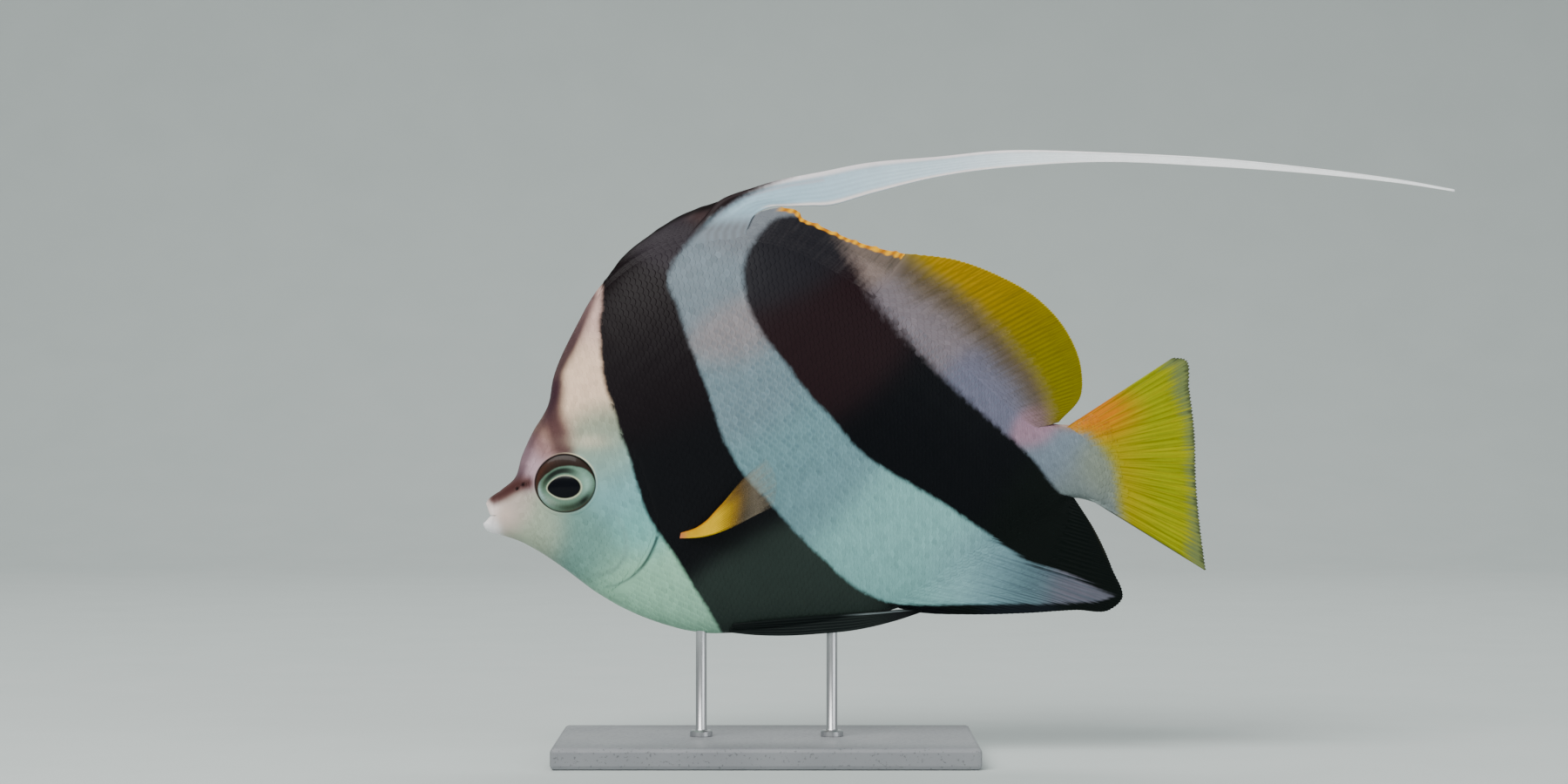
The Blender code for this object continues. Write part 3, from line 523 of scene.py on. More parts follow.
skin_left = left + grid_normals(left) * relief(flat)[..., None]
skin_right = skin_left * (1, -1, 1)

# Where the two sides meet, a low crown of three points rounds the back and the belly.
CROWN = np.array([-0.6, 0.0, 0.6])
CROWN_RISE = 0.55


def crown(edge_points, outward):
    """Points over an edge of the body, from its left side to its right."""
    edge_half = -edge_points[:, 1]
    middle = edge_points * (1, 0, 1)
    rise = CROWN_RISE * edge_half[:, None] * (1 - CROWN**2)[None, :]
    return (
        middle[:, None]
        + outward[:, None] * rise[..., None]
        + ACROSS * (edge_half[:, None] * CROWN[None, :])[..., None]
    )


upward = skin_left[:, -1] - skin_left[:, 0]
upward = upward * (1, 0, 1)
upward /= np.linalg.norm(upward, axis=1, keepdims=True)
top = crown(skin_left[:, -1], upward)
bottom = crown(skin_left[:, 0], -upward)
tube = np.concatenate([skin_left, top, skin_right[:, ::-1], bottom[:, ::-1]], axis=1)
columns, ring_size = tube.shape[:2]
skin_points = [tube.reshape(-1, 3)]
numbering = np.arange(columns * ring_size).reshape(columns, ring_size)
skin_faces = ring_faces(numbering)
next_point = columns * ring_size

# The tail end closes inside the thick root of the tail fin.
TAIL_TUCK = 0.9
TAIL_PINCH = 0.3
last = tube[-1] * (1, TAIL_PINCH, 1) + (TAIL_TUCK, 0, 0)
tuck = next_point + np.arange(ring_size)
skin_points.append(last)
next_point += ring_size
skin_faces += ring_faces([numbering[-1], tuck])
skin_faces.append([int(k) for k in tuck])

# The jaws: the front ring parts at the mouth line into an upper and a lower lip, each a rounded form
# that draws in to its tip, with a fold of thicker flesh round its edge.
MOUTH_Z = 55.7
LIP_STEPS = 22
MOUTH_POINTS = 9
# For each jaw: its reach, the height of its tip over the mouth line, its parting from that line, how
# much of its reach it keeps at the mouth line, and how steeply its upper and lower outlines close.
JAWS = {
    "upper": (2.75, 2.40, 0.06, 0.74, (0.66, 9.0), (0.0, 12.0)),
    "lower": (3.45, -1.75, -0.06, 0.66, (0.0, 5.0), (0.30, 4.0)),
}
LIP_FOLD_IN = (0.05, 0.22, 0.10)  # depth, place and width of a fold, in shares of the lip
LIP_FOLD_OUT = (0.03, 0.55, 0.2)
LIP_ROUNDING = 3.2
LIP_LEAST = 0.0005  # so that no ring of the lip closes to a point


def lip_fold(fold, out):
    depth, place, width = fold
    return depth * math.exp(-(((out - place) / width) ** 2))


mouth_row = int(np.argmin(np.abs(skin_left[0, :, 2] - MOUTH_Z)))
left_ring = numbering[0, : SKIN_ROWS + 1]
right_ring = numbering[0, SKIN_ROWS + 4 : 2 * SKIN_ROWS + 5][::-1]
top_ring = numbering[0, SKIN_ROWS + 1 : SKIN_ROWS + 4]
bottom_ring = numbering[0, 2 * SKIN_ROWS + 5 :]
corner_left = tube[0, mouth_row]
across = np.linspace(-1, 1, MOUTH_POINTS + 2)[1:-1, None]
MOUTH_DEPTH = 1.2
set_back = np.array([MOUTH_DEPTH, 0, 0]) * (1 - across**2)
inside = corner_left * (1, 0, 1) - corner_left[1] * ACROSS * across + set_back
mouth_numbers = next_point + np.arange(MOUTH_POINTS)
skin_points.append(inside)
next_point += MOUTH_POINTS
inner = [np.zeros(columns * ring_size + ring_size, bool), np.ones(MOUTH_POINTS, bool)]
rings = {
    "upper": [*left_ring[mouth_row:], *top_ring, *right_ring[mouth_row:][::-1], *mouth_numbers[::-1]],
    "lower": [*right_ring[: mouth_row + 1][::-1], *bottom_ring, *left_ring[: mouth_row + 1], *mouth_numbers],
}
for jaw, (reach, tip_up, parting, kept, above, below) in JAWS.items():
    ring = np.array(rings[jaw])
    known = np.concatenate(skin_points)
    start = known[ring]
    tip_z = MOUTH_Z + tip_up
    from_tip = start[:, 2] - tip_z
    from_mouth = np.clip(np.abs(start[:, 2] - MOUTH_Z) / abs(tip_up), 0, 1)
    before = ring
    for number in range(1, LIP_STEPS + 1):
        out = math.sin(number / LIP_STEPS * math.pi / 2)
        fold = 1 - lip_fold(LIP_FOLD_IN, out) + lip_fold(LIP_FOLD_OUT, out)
        side_size = fold * max(1 - out**LIP_ROUNDING, LIP_LEAST) ** 0.5
        above_size, below_size = (
            (1 - taper * out) * max(1 - out**power, LIP_LEAST) ** 0.5 for taper, power in (above, below)
        )
        moved = start * (1, side_size, 1)
        moved[:, 0] = start[:, 0] * (1 - out)
        moved[:, 0] += (corner_left[0] - reach * (kept + (1 - kept) * from_mouth**0.8)) * out
        moved[:, 2] = tip_z + from_tip * np.where(from_tip > 0, above_size, below_size)
        moved[:, 2] += parting * min(out * 5, 1)
        ring = next_point + np.arange(len(before))
        skin_points.append(moved)
        inner.append(np.isin(np.array(rings[jaw]), mouth_numbers))
        next_point += len(before)
        skin_faces += ring_faces([before, ring])
        before = ring
    skin_faces.append([int(k) for k in before])

# The rim of the eye socket: skin that rises hardly at all, and then dips to the eyeball.
RIM_TURNS = 120
RIM_PROFILE = (
    (1.16, -0.30), (1.12, -0.066), (1.085, -0.035), (1.06, -0.010), (1.045, 0.012), (1.030, 0.030),
    (1.015, 0.030), (1.000, 0.000), (0.985, -0.08), (0.970, -0.25), (0.960, -0.55), (0.955, -1.30),
)
turn = np.linspace(0, 2 * math.pi, RIM_TURNS, endpoint=False)
for side in (-1, 1):
    rim_rings = []
    for size, height in RIM_PROFILE:
        ring_flat = np.stack([
            EYE[0] + EYE_RADII[0] * size * np.cos(turn),
            EYE[1] + EYE_RADII[1] * size * np.sin(turn),
        ], -1)
        ring_points = np.stack([ring_flat[:, 0], side * half_width(ring_flat), ring_flat[:, 1]], -1)
        skin_points.append(ring_points + side_normal(ring_flat, side) * height)
        inner.append(np.zeros(RIM_TURNS, bool))
        rim_rings.append(next_point + np.arange(RIM_TURNS))
        next_point += RIM_TURNS
    skin_faces += ring_faces(rim_rings[:: side])

skin_points = np.concatenate(skin_points)
mouth_inside = np.concatenate(inner)
skin_flat = skin_points[:, [0, 2]]
eye_away = eye_radius(skin_flat)
rim_angle = np.arctan2(skin_flat[:, 1] - EYE[1], skin_flat[:, 0] - EYE[0])
# A painted highlight: a thin pale gold line along the raised lip of the eye socket, strongest at its upper
# rear.
painted_rim_highlight = hump(eye_away - 1.032, 0.016) * (0.10 + 0.90 * np.exp(-(((rim_angle - 0.95) / 0.60) ** 2)))
skin_tone = layered(head_tone(skin_flat, pale_tone(skin_flat)), (
    # Partly the lining's own rose colour and partly painted shade: the inner faces of the lips darken towards
    # the back of the mouth's slit.
    ("#5A3C3C", 0.85 * mouth_inside * smooth_step(-64.6, -63.4, skin_points[:, 0])),
    ("#EADBB8", 0.9 * painted_rim_highlight),
    ("#2A2220", 0.92 * (1 - smooth_step(0.985, 1.018, eye_away))),
))
# Painted shade: the nostril pits are filled with a dark tone.
for x, z, radius in NOSTRILS:
    away = np.hypot(skin_flat[:, 0] - x, skin_flat[:, 1] - z)
    skin_tone = washed(skin_tone, "#2C2326", 0.9 * (1 - smooth_step(0.5 * radius, 1.1 * radius, away)))
skin = new_mesh(
    "body_skin", skin_points, skin_faces,
    {"tone": skin_tone, "dark": dark_tone(skin_flat)},
    {"black": blackness(skin_flat)},
)
outward_faces(skin)


def add(tree, kind, settings=None, inputs=None):
    """Adds a node, sets its settings, and sets or links its inputs by name or number."""
    node = tree.nodes.new(kind)
    for key, value in (settings or {}).items():
        setattr(node, key, value)
    for key, value in (inputs or {}).items():
        if isinstance(value, bpy.types.NodeSocket):
            tree.links.new(value, node.inputs[key])
        else:
            node.inputs[key].default_value = value
    return node


def new_material(name):
    made = bpy.data.materials.new(name)
    made.use_nodes = True
    made.node_tree.nodes.clear()
    return made, made.node_tree


def banded_colour(tree, speckle_amount):
    """Pale and black skin from the kept tones, parted where the edge of the band wavers."""
    place = add(tree, "ShaderNodeTexCoord").outputs["Object"]
    tone = add(tree, "ShaderNodeAttribute", {"attribute_name": "tone"}).outputs["Color"]
    dark = add(tree, "ShaderNodeAttribute", {"attribute_name": "dark"}).outputs["Color"]
    black = add(tree, "ShaderNodeAttribute", {"attribute_name": "black"}).outputs["Fac"]
    # The edge wavers over 1.1 mm, the mottling is 4 mm across, and the speckles are 0.7 mm.
    waver = add(tree, "ShaderNodeTexNoise", None, {"Vector": place, "Scale": 900.0, "Detail": 2.0})
    wavering = add(tree, "ShaderNodeMath", {"operation": "MULTIPLY_ADD"},
                   {0: waver.outputs["Fac"], 1: 0.7, 2: -0.35})
    depth = add(tree, "ShaderNodeMath", {"operation": "ADD"}, {0: black, 1: wavering.outputs[0]})
    mask = add(tree, "ShaderNodeMapRange", {"interpolation_type": "SMOOTHSTEP"},
               {"Value": depth.outputs[0], "From Min": -1.0, "From Max": 1.0})
    mottle = add(tree, "ShaderNodeTexNoise", None, {"Vector": place, "Scale": 260.0, "Detail": 3.0})
    speckle = add(tree, "ShaderNodeTexNoise", None, {"Vector": place, "Scale": 1500.0, "Detail": 2.0})
    speckled = add(tree, "ShaderNodeMath", {"operation": "MULTIPLY_ADD"},
                   {0: speckle.outputs["Fac"], 1: speckle_amount, 2: 1 - speckle_amount / 2})
    both = add(tree, "ShaderNodeMath", {"operation": "MULTIPLY_ADD"},
               {0: mottle.outputs["Fac"], 1: 0.16, 2: speckled.outputs[0]})
    level = add(tree, "ShaderNodeMath", {"operation": "SUBTRACT"}, {0: both.outputs[0], 1: 0.08})
    colour = add(tree, "ShaderNodeMix", {"data_type": "RGBA"},
                 {"Factor": mask.outputs[0], 6: tone, 7: dark}).outputs[2]
    scaled = add(tree, "ShaderNodeVectorMath", {"operation": "SCALE"}, {0: colour, "Scale": level.outputs[0]})
    return scaled.outputs[0], mask.outputs[0], place


# Skin of the living fish: satin under a thin film of slime, so that it has a soft broad sheen.
satin_skin, tree = new_material("satin_fish_skin")
colour, mask, place = banded_colour(tree, 0.10)
grain = add(tree, "ShaderNodeTexNoise", None, {"Vector": place, "Scale": 2600.0, "Detail": 3.0})
rough = add(tree, "ShaderNodeMapRange", None, {"Value": grain.outputs["Fac"], "To Min": 0.36, "To Max": 0.50})
# The fine scales of the face are about 0.7 mm across.
cells = add(tree, "ShaderNodeTexVoronoi", None, {"Vector": place, "Scale": 1400.0})
bump = add(tree, "ShaderNodeBump", None,
           {"Strength": 0.25, "Distance": 0.00006, "Height": cells.outputs["Distance"]})
shader = add(tree, "ShaderNodeBsdfPrincipled", None, {
    "Base Color": colour, "Roughness": rough.outputs[0], "Normal": bump.outputs[0],
    "IOR": 1.38, "Specular IOR Level": 0.17, "Coat Weight": 0.02, "Coat Roughness": 0.25,
})
add(tree, "ShaderNodeOutputMaterial", None, {"Surface": shader.outputs[0]})
skin.data.materials.append(satin_skin)
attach(skin, "root")
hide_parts("head", "trunk", "peduncle", "gill_cover_left", "gill_cover_right",
            "upper_lip", "lower_lip")

# The eyes
# Each eyeball sits deep in its socket behind a clear cornea: a black oval pupil with a pale gold
# ring, a silver-green iris, and a dark crescent that carries the brow's stripe over its top.
EYE_SUNK = 0.6  # how far its rim lies under the skin
EYE_STRAIGHT = 0.6  # how much its axis turns from the skin's own direction to straight out
EYE_DOME = 1.25
LENS_DOME = 0.35
EYE_BACK = 3.4  # depth of the hidden back of the ball
EYE_TURNS = 144
PUPIL_RINGS, IRIS_RINGS, BACK_RINGS = 16, 44, 12
PUPIL = (0.02, -0.80, 3.76, 2.62)  # x and z from the middle of the eye, half width and half height
# Where the dark crescent of the iris starts, by degrees from the tail side over the top, as a share
# of the way from the pupil to the rim.
CRESCENT_DEGREES = (0, 20, 45, 60, 90, 135, 160, 180, 205, 240, 360)
CRESCENT_STARTS = (0.92, 0.82, 0.64, 0.52, 0.42, 0.40, 0.50, 0.66, 0.84, 0.94, 0.92)
turn = np.linspace(0, 2 * math.pi, EYE_TURNS, endpoint=False)


def make_eye(name, side, replaced):
    outward = side_normal(np.array(EYE), side) + side * ACROSS * EYE_STRAIGHT
    outward /= np.linalg.norm(outward)
    skin_at = np.array([EYE[0], side * half_width(np.array(EYE)), EYE[1]])
    centre = skin_at - outward * EYE_SUNK
    # The face of the eye lies in a plane square to its axis; these two lines in it look level and
    # upright from the side, so that ovals drawn on them keep their shape there.
    level = np.array([1.0, -outward[0] / outward[1], 0.0])
    steep = np.array([0.0, -outward[2] / outward[1], 1.0])
    cos, sin = np.cos(turn), np.sin(turn)
    # The pupil is drawn out a little at the front, and in a little above that.
    point = 1 + 0.10 * np.exp(-(((turn - 3.35) / 0.40) ** 2)) - 0.06 * np.exp(-(((turn - 2.3) / 0.5) ** 2))
    pupil = np.stack([PUPIL[0] + PUPIL[2] * point * cos, PUPIL[1] + PUPIL[3] * point * sin], -1)
    rim = np.stack([EYE_RADII[0] * cos, EYE_RADII[1] * sin], -1)
    middle = np.array(PUPIL[:2])
    rings, zone = [], []
    for k in range(PUPIL_RINGS + 1):
        share = max(k / PUPIL_RINGS, 0.02)
        rings.append(middle * (1 - share) + pupil * share)
        zone.append(np.full(EYE_TURNS, share))
    for k in range(1, IRIS_RINGS + 1):
        share = k / IRIS_RINGS
        rings.append(pupil * (1 - share) + rim * share)
        zone.append(np.full(EYE_TURNS, 1 + share))
    front = np.array(rings)
    zone = np.array(zone)
    radius = np.hypot(front[..., 0] / EYE_RADII[0], front[..., 1] / EYE_RADII[1])
    lens = LENS_DOME * np.sqrt(np.clip(1 - zone**2, 0, 1))
    height = EYE_DOME * np.sqrt(np.maximum(1 - radius**2, 0)) + lens
    # The iris dips beyond its pale ring, which stands up beside the pupil.
    height -= 0.10 * hump(zone - 1.30, 0.16)
    height += 0.05 * hump(zone - 1.05, 0.05)
    back_share = np.linspace(0, math.pi / 2, BACK_RINGS + 1)[1:, None]
    back = rim[None] * np.maximum(np.cos(back_share), 0.02)[..., None]
    flat_all = np.concatenate([front, back])
    height = np.concatenate([height, -EYE_BACK * np.sin(back_share) * np.ones(EYE_TURNS)])
    zone = np.concatenate([zone, np.full((BACK_RINGS, EYE_TURNS), 2.0)])
    points = (
        centre
        + level * flat_all[..., 0:1]
        + steep * flat_all[..., 1:2]
        + outward * height[..., None]
    )
    numbers = np.arange(points.shape[0] * EYE_TURNS).reshape(-1, EYE_TURNS)
    faces = ring_faces(numbers)
    faces += [[int(k) for k in numbers[0]], [int(k) for k in numbers[-1]]]
    # Angles run from the tail side (0) over the top (1.57) to the front (3.14).
    angle = np.broadcast_to(turn, zone.shape)
    away = np.broadcast_to(zone - 1, zone.shape)

    def sector(middle_angle, spread, power=2):
        off = np.abs((angle - middle_angle + math.pi) % (2 * math.pi) - math.pi)
        return np.exp(-((off / spread) ** power))

    starts = np.interp(np.degrees(angle), CRESCENT_DEGREES, CRESCENT_STARTS)
    ring_width = 0.058 - 0.034 * np.sin(angle - 0.4)
    tone = layered(np.broadcast_to(linear("#648270"), (*zone.shape, 3)), (
        ("#4A6456", 0.6 * hump(away - 0.62, 0.22)),
        ("#8AB2A2", 0.85 * sector(0.0, 0.75) * hump(away - 0.42, 0.34)),
        ("#3C4C38", 0.80 * sector(2.95, 0.50) * hump(away - 0.28, 0.24)),
        ("#98B6B2", 0.88 * sector(3.55, 0.48) * hump(away - 0.70, 0.17)),
        ("#8A9C8C", 0.60 * sector(4.05, 0.40) * hump(away - 0.50, 0.26)),
        ("#2C3828", 0.88 * sector(4.90, 0.62) * hump(away - 0.64, 0.30)),
        ("#26140F", 0.97 * smooth_step(-0.04, 0.06, away - starts)),  # the crescent
        ("#4A2A20", 0.55 * sector(2.75, 0.75) * hump(away - 0.78, 0.16)),
        ("#0E120F", 0.97 * sector(2.0, 1.05, 4) * np.exp(-(((away - 0.225) / 0.150) ** 4))),
        ("#10140F", 0.96 * sector(5.55, 0.46) * hump(away - 0.64, 0.32)),
        ("#3C2E24", 0.8 * sector(5.2, 0.7) * smooth_step(0.76, 0.88, away)),
        ("#0C0D0E", 0.96 * smooth_step(0.91, 0.96, away)),  # shade under the rim
        ("#C2C8A8", 0.85 * hump(np.maximum(away - 0.01, 0), ring_width)),  # pale gold ring
        ("#02040A", 1 - smooth_step(-0.02, 0.015, away)),  # pupil
    ))
    eye = new_mesh(name, points.reshape(-1, 3), faces, {"tone": tone.reshape(-1, 3)},
                   {"angle": angle, "zone": zone})
    outward_faces(eye)
    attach(eye, "root")
    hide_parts(replaced)
    return eye


# Wet eye: pigment behind a clear, smooth cornea, so it is sharp and bright in its reflections.
wet_eye, tree = new_material("wet_eye_under_clear_cornea")
tone = add(tree, "ShaderNodeAttribute", {"attribute_name": "tone"}).outputs["Color"]
angle = add(tree, "ShaderNodeAttribute", {"attribute_name": "angle"}).outputs["Fac"]
zone = add(tree, "ShaderNodeAttribute", {"attribute_name": "zone"}).outputs["Fac"]
turns = add(tree, "ShaderNodeMath", {"operation": "MULTIPLY"}, {0: angle, 1: 14.0})
fibres_at = add(tree, "ShaderNodeCombineXYZ", None, {"X": turns.outputs[0], "Y": zone})
fibres = add(tree, "ShaderNodeTexNoise", None, {"Vector": fibres_at.outputs[0], "Scale": 1.6, "Detail": 4.0})
level = add(tree, "ShaderNodeMapRange", None,
            {"Value": fibres.outputs["Fac"], "To Min": 0.72, "To Max": 1.28})
colour = add(tree, "ShaderNodeVectorMath", {"operation": "SCALE"}, {0: tone, "Scale": level.outputs[0]})
shader = add(tree, "ShaderNodeBsdfPrincipled", None, {
    "Base Color": colour.outputs[0], "Roughness": 0.30, "IOR": 1.36, "Specular IOR Level": 0.15,
    "Coat Weight": 0.14, "Coat Roughness": 0.04, "Coat IOR": 1.36,
})
add(tree, "ShaderNodeOutputMaterial", None, {"Surface": shader.outputs[0]})
SIDES = (("left", -1), ("right", 1))
for word, side in SIDES:
    make_eye("eyeball_" + word, side, "eye_" + word).data.materials.append(wet_eye)

# The upright fins
# Bony spines and soft, branching rays hold up a thin membrane. The dorsal, anal and tail fins grow
# out of the edge of the body, thick at the root and under half a millimetre thick at the margin.
FIN_EDGE_HALF = 0.14
FIN_THINNING = 1.6  # over 1, so that a fin thins fastest near its root
BLEND_DEPTH = 2.6  # how far down in the flesh a fin's root begins to swell into it
BLEND_LENGTHS = (1.2, 5.0)  # least and most over which that swelling falls away
RAY_POINTS = 14  # points across one ray and its share of the membrane


def root_flare(low, high, root_half):
    """How the flesh spreads into a fin: extra half thickness by share of the root and mm from it."""
    shares = np.linspace(0, 1, len(low))
    ahead = (high - low) / np.linalg.norm(high - low, axis=-1, keepdims=True)
    there = half_width(low - ahead * BLEND_DEPTH)
    slope = (half_width(low - ahead * (BLEND_DEPTH + 0.4)) - there) / 0.4
    extra = np.maximum(there - SKIN_UNDER - root_half, 0.05)
    length = np.clip(extra / np.maximum(slope, 0.1), *BLEND_LENGTHS)

    def at(across_share, depth):
        most = np.interp(across_share, shares, extra)
        fall = np.interp(across_share, shares, length)
        return most * np.exp(-np.maximum(depth + BLEND_DEPTH, -0.2) / fall)
    return at


def fin_form(root, edge, root_half, sweep=1.0, flared=True):
    """Middle place and half thickness of a fin's membrane, by the shares across it and out from it."""
    shares = np.linspace(0, 1, 121)
    flare = root_flare(root(shares), edge(shares**sweep), root_half(shares)) if flared else None

    def at(across_share, out):
        low = root(across_share)
        high = edge(np.clip(across_share, 0, 1) ** sweep)
        middle = low * (1 - out[..., None]) + high * out[..., None]
        thin = np.clip(1 - out, 0, 1) ** FIN_THINNING
        half = root_half(across_share) * thin + FIN_EDGE_HALF * (1 - thin)
        if flared:
            half = half + flare(across_share, out * np.linalg.norm(high - low, axis=-1))
        return middle, half
    return at


def ray_pattern(across_share, out, rays, fork_from=0.35, fork_again=0.68, spread=0.24, branching=True):
    """How near each place is to the crest of a ray: 1 on it, 0 between rays. Soft rays fork twice."""
    cell = across_share * rays
    cell = cell - np.floor(np.minimum(cell, rays - 1e-6))
    first = spread * smooth_step(fork_from, fork_from + 0.3, out) if branching else 0.0 * out
    second = spread / 2 * smooth_step(fork_again, fork_again + 0.22, out) if branching else 0.0 * out
    width = 0.15 - 0.085 * smooth_step(fork_from, 1.0, out) if branching else 0.17 - 0.05 * out
    crest = np.zeros(cell.shape)
    for one in (-1, 1):
        for two in (-1, 1):
            crest = np.maximum(crest, hump(cell - 0.5 - one * first - two * second, width))
    return crest


def grid_solid(middle, normal, half):
    """Points and faces of a thin closed form over a grid, with its two faces a half away."""
    count_rows, count_columns = half.shape
    offset = normal * half[..., None]
    points = np.concatenate([(middle - offset).reshape(-1, 3), (middle + offset).reshape(-1, 3)])
    total = count_rows * count_columns
    index = np.arange(total).reshape(count_rows, count_columns)
    near = np.stack([index[:-1, :-1], index[1:, :-1], index[1:, 1:], index[:-1, 1:]], -1).reshape(-1, 4)
    rim = np.concatenate([index[0, :], index[1:, -1], index[-1, -2::-1], index[-2:0:-1, 0]])
    after = np.roll(rim, -1)
    wall = np.stack([rim, after, after + total, rim + total], -1)
    return points, np.concatenate([near, near[:, ::-1] + total, wall]).tolist()


def doubled(value):
    """What is kept at each place of a grid, once for each face of its solid."""
    return np.concatenate([value.reshape(-1, *value.shape[2:])] * 2)


def upright(flat):
    """Points in the middle plane of the fish from x and z."""
    return np.stack([flat[..., 0], np.zeros(flat.shape[:-1]), flat[..., 1]], -1)


def back_root(span):
    """Line on the back that a fin's root spans, in sections."""
    return lambda share: section(span[0] + (span[1] - span[0]) * share)[..., 0:2]


def belly_root(span):
    return lambda share: section(span[0] + (span[1] - span[0]) * share)[..., 2:4]


def root_thickness(span, column):
    return lambda share: section(span[0] + (span[1] - span[0]) * share)[..., column]


def streaks(across_share, out, count, seed):
    """Fine uneven lines that run out along a fin, from -1 to 1; they drift a little on the way."""
    levels = np.random.default_rng(seed).uniform(-1, 1, (3, count + 2))
    place = np.clip(across_share, 0, 1) * count
    index = place.astype(int)
    part = smooth_step(0, 1, place - index)
    lines = levels[:, index] * (1 - part) + levels[:, index + 1] * part
    third = np.clip(out, 0, 1) * 2
    start = lines[0] * np.maximum(1 - third, 0)
    halfway = lines[1] * (1 - abs(1 - third))
    return start + halfway + lines[2] * np.maximum(third - 1, 0)


YELLOW_LINE = ((26.0, 117.6), (31.6, 114.2), (36.0, 110.6), (41.6, 107.0), (48.4, 101.0), (55.8, 93.6),
               (61.6, 86.4), (64.4, 79.0), (65.0, 74.0))
TAIL_YELLOW_LINE = ((64.0, 78.4), (68.6, 76.2), (74.5, 75.3), (76.8, 72.6), (79.8, 68.6), (81.0, 64.4),
                    (81.3, 60.2), (81.9, 56.8), (83.4, 50.0))
ANAL_BLACK_EDGE = ((30.0, 35.4), (38.0, 35.2), (48.8, 35.3), (66.0, 35.5), (76.4, 35.9), (80.0, 37.4))


def dorsal_tone(flat, ray, out, fine):
    """Colour of the dorsal fins behind the bands: pale, then a brown smudge, then yellow."""
    gap, share = beside_line(drawn(YELLOW_LINE, 50), flat)
    gap = gap + 0.5 * fine
    smudge = hump(gap + 0.6, 4.6) * smooth_step(-0.05, 0.2, share) * (1 - 0.4 * smooth_step(0.8, 1.0, share))
    yellow = smooth_step(-1.8, 4.4, gap)
    front = np.exp(-(((share - 0.20) / 0.26) ** 2)) * smooth_step(0.0, 5.0, gap)
    return layered(pale_tone(flat), (
        ("#56482E", 0.88 * smudge),
        ("#3A301C", 0.40 * smudge * np.clip(ray + np.maximum(fine, 0), 0, 1)),
        ("#7E6A00", yellow),
        ("#A88000", 0.65 * yellow * front),
        ("#6E6A00", 0.90 * yellow * smooth_step(0.40, 0.85, share)),
        ("#4E4400", 0.42 * yellow * ray * (1 - 0.4 * smooth_step(0.75, 1.0, out))),
        ("#564A00", 0.40 * yellow * np.maximum(fine, 0)),
        ("#C8B40A", 0.6 * yellow * smooth_step(0.985, 1.0, out)),  # bright margin
    ))


# Fin membrane: thin satin skin drawn over the rays, so the rays catch the light as fine ridges.
fin_membrane, tree = new_material("satin_fin_membrane")
colour, mask, place = banded_colour(tree, 0.12)
grain = add(tree, "ShaderNodeTexNoise", None, {"Vector": place, "Scale": 2200.0, "Detail": 2.0})
rough = add(tree, "ShaderNodeMapRange", None, {"Value": grain.outputs["Fac"], "To Min": 0.38, "To Max": 0.52})
bump = add(tree, "ShaderNodeBump", None,
           {"Strength": 0.2, "Distance": 0.00005, "Height": grain.outputs["Fac"]})
shader = add(tree, "ShaderNodeBsdfPrincipled", None, {
    "Base Color": colour, "Roughness": rough.outputs[0], "Normal": bump.outputs[0],
    "IOR": 1.38, "Specular IOR Level": 0.12,
})
add(tree, "ShaderNodeOutputMaterial", None, {"Surface": shader.outputs[0]})
FIN_LEAST_LENGTH = 1.5
FIN_MARGIN_HALF = 0.05
FIN_FOOT_PINCH = 0.5  # how much thinner the hidden first row is
FREE_END = 0.6  # share of its thickness that a free end keeps
FIN_TUCKS = (3.6, 2.4, 1.2)  # how far under its root line a fin's first rows lie


def fin_mesh(name, form, rays, out_rows, ridge, notch, branching, colour_of, replaced,
             free=(True, True), scaled=0.5):
    """A fin from its form, with rays as ridges and a margin that falls back between the ray tips.

    Its free ends thin out, and its rays stand lower on the scaled share next to the body.
    """
    at = np.linspace(0, 1, rays * RAY_POINTS + 1)[:, None]
    low, _ = form(at, np.zeros_like(at))
    high, _ = form(at, np.ones_like(at))
    length = np.maximum(np.linalg.norm(high - low, axis=-1), FIN_LEAST_LENGTH)
    steps = np.linspace(0, 1, out_rows + 1)[None, :]
    tucked = np.concatenate([-tuck / length for tuck in FIN_TUCKS], axis=1)
    out_grid = np.concatenate([tucked, np.broadcast_to(steps, (len(at), out_rows + 1))], axis=1)
    at_grid = np.broadcast_to(at, out_grid.shape)
    ray = ray_pattern(at_grid, out_grid, rays, branching=branching)
    deepest = np.minimum(notch / np.maximum(length, 1), 0.3)
    fall = deepest * (1 - ray[:, -1:]) * smooth_step(0.6, 1.0, out_grid)
    middle, half = form(at_grid, out_grid * (1 - fall))
    swell = np.clip(out_grid * 6, 0, 1) * (1 - 0.55 * out_grid)
    swell = swell * (0.3 + 0.7 * smooth_step(0.6 * scaled, 1.1 * scaled, out_grid))
    half = half + ridge * ray * swell
    half[:, -1] = FIN_MARGIN_HALF
    half[:, 0] -= FIN_FOOT_PINCH
    for end, is_free in zip((0, -1), free):
        half[end] *= FREE_END if is_free else 1.0
    points, faces = grid_solid(upright(middle), ACROSS, half)
    tone, dark, black = colour_of(middle, ray, np.clip(out_grid, 0, 1), at_grid)
    made = new_mesh(name, points, faces, {"tone": doubled(tone), "dark": doubled(dark)},
                    {"black": doubled(black)})
    outward_faces(made)
    made.data.materials.append(fin_membrane)
    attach(made, "root")
    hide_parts(*replaced)
    return made


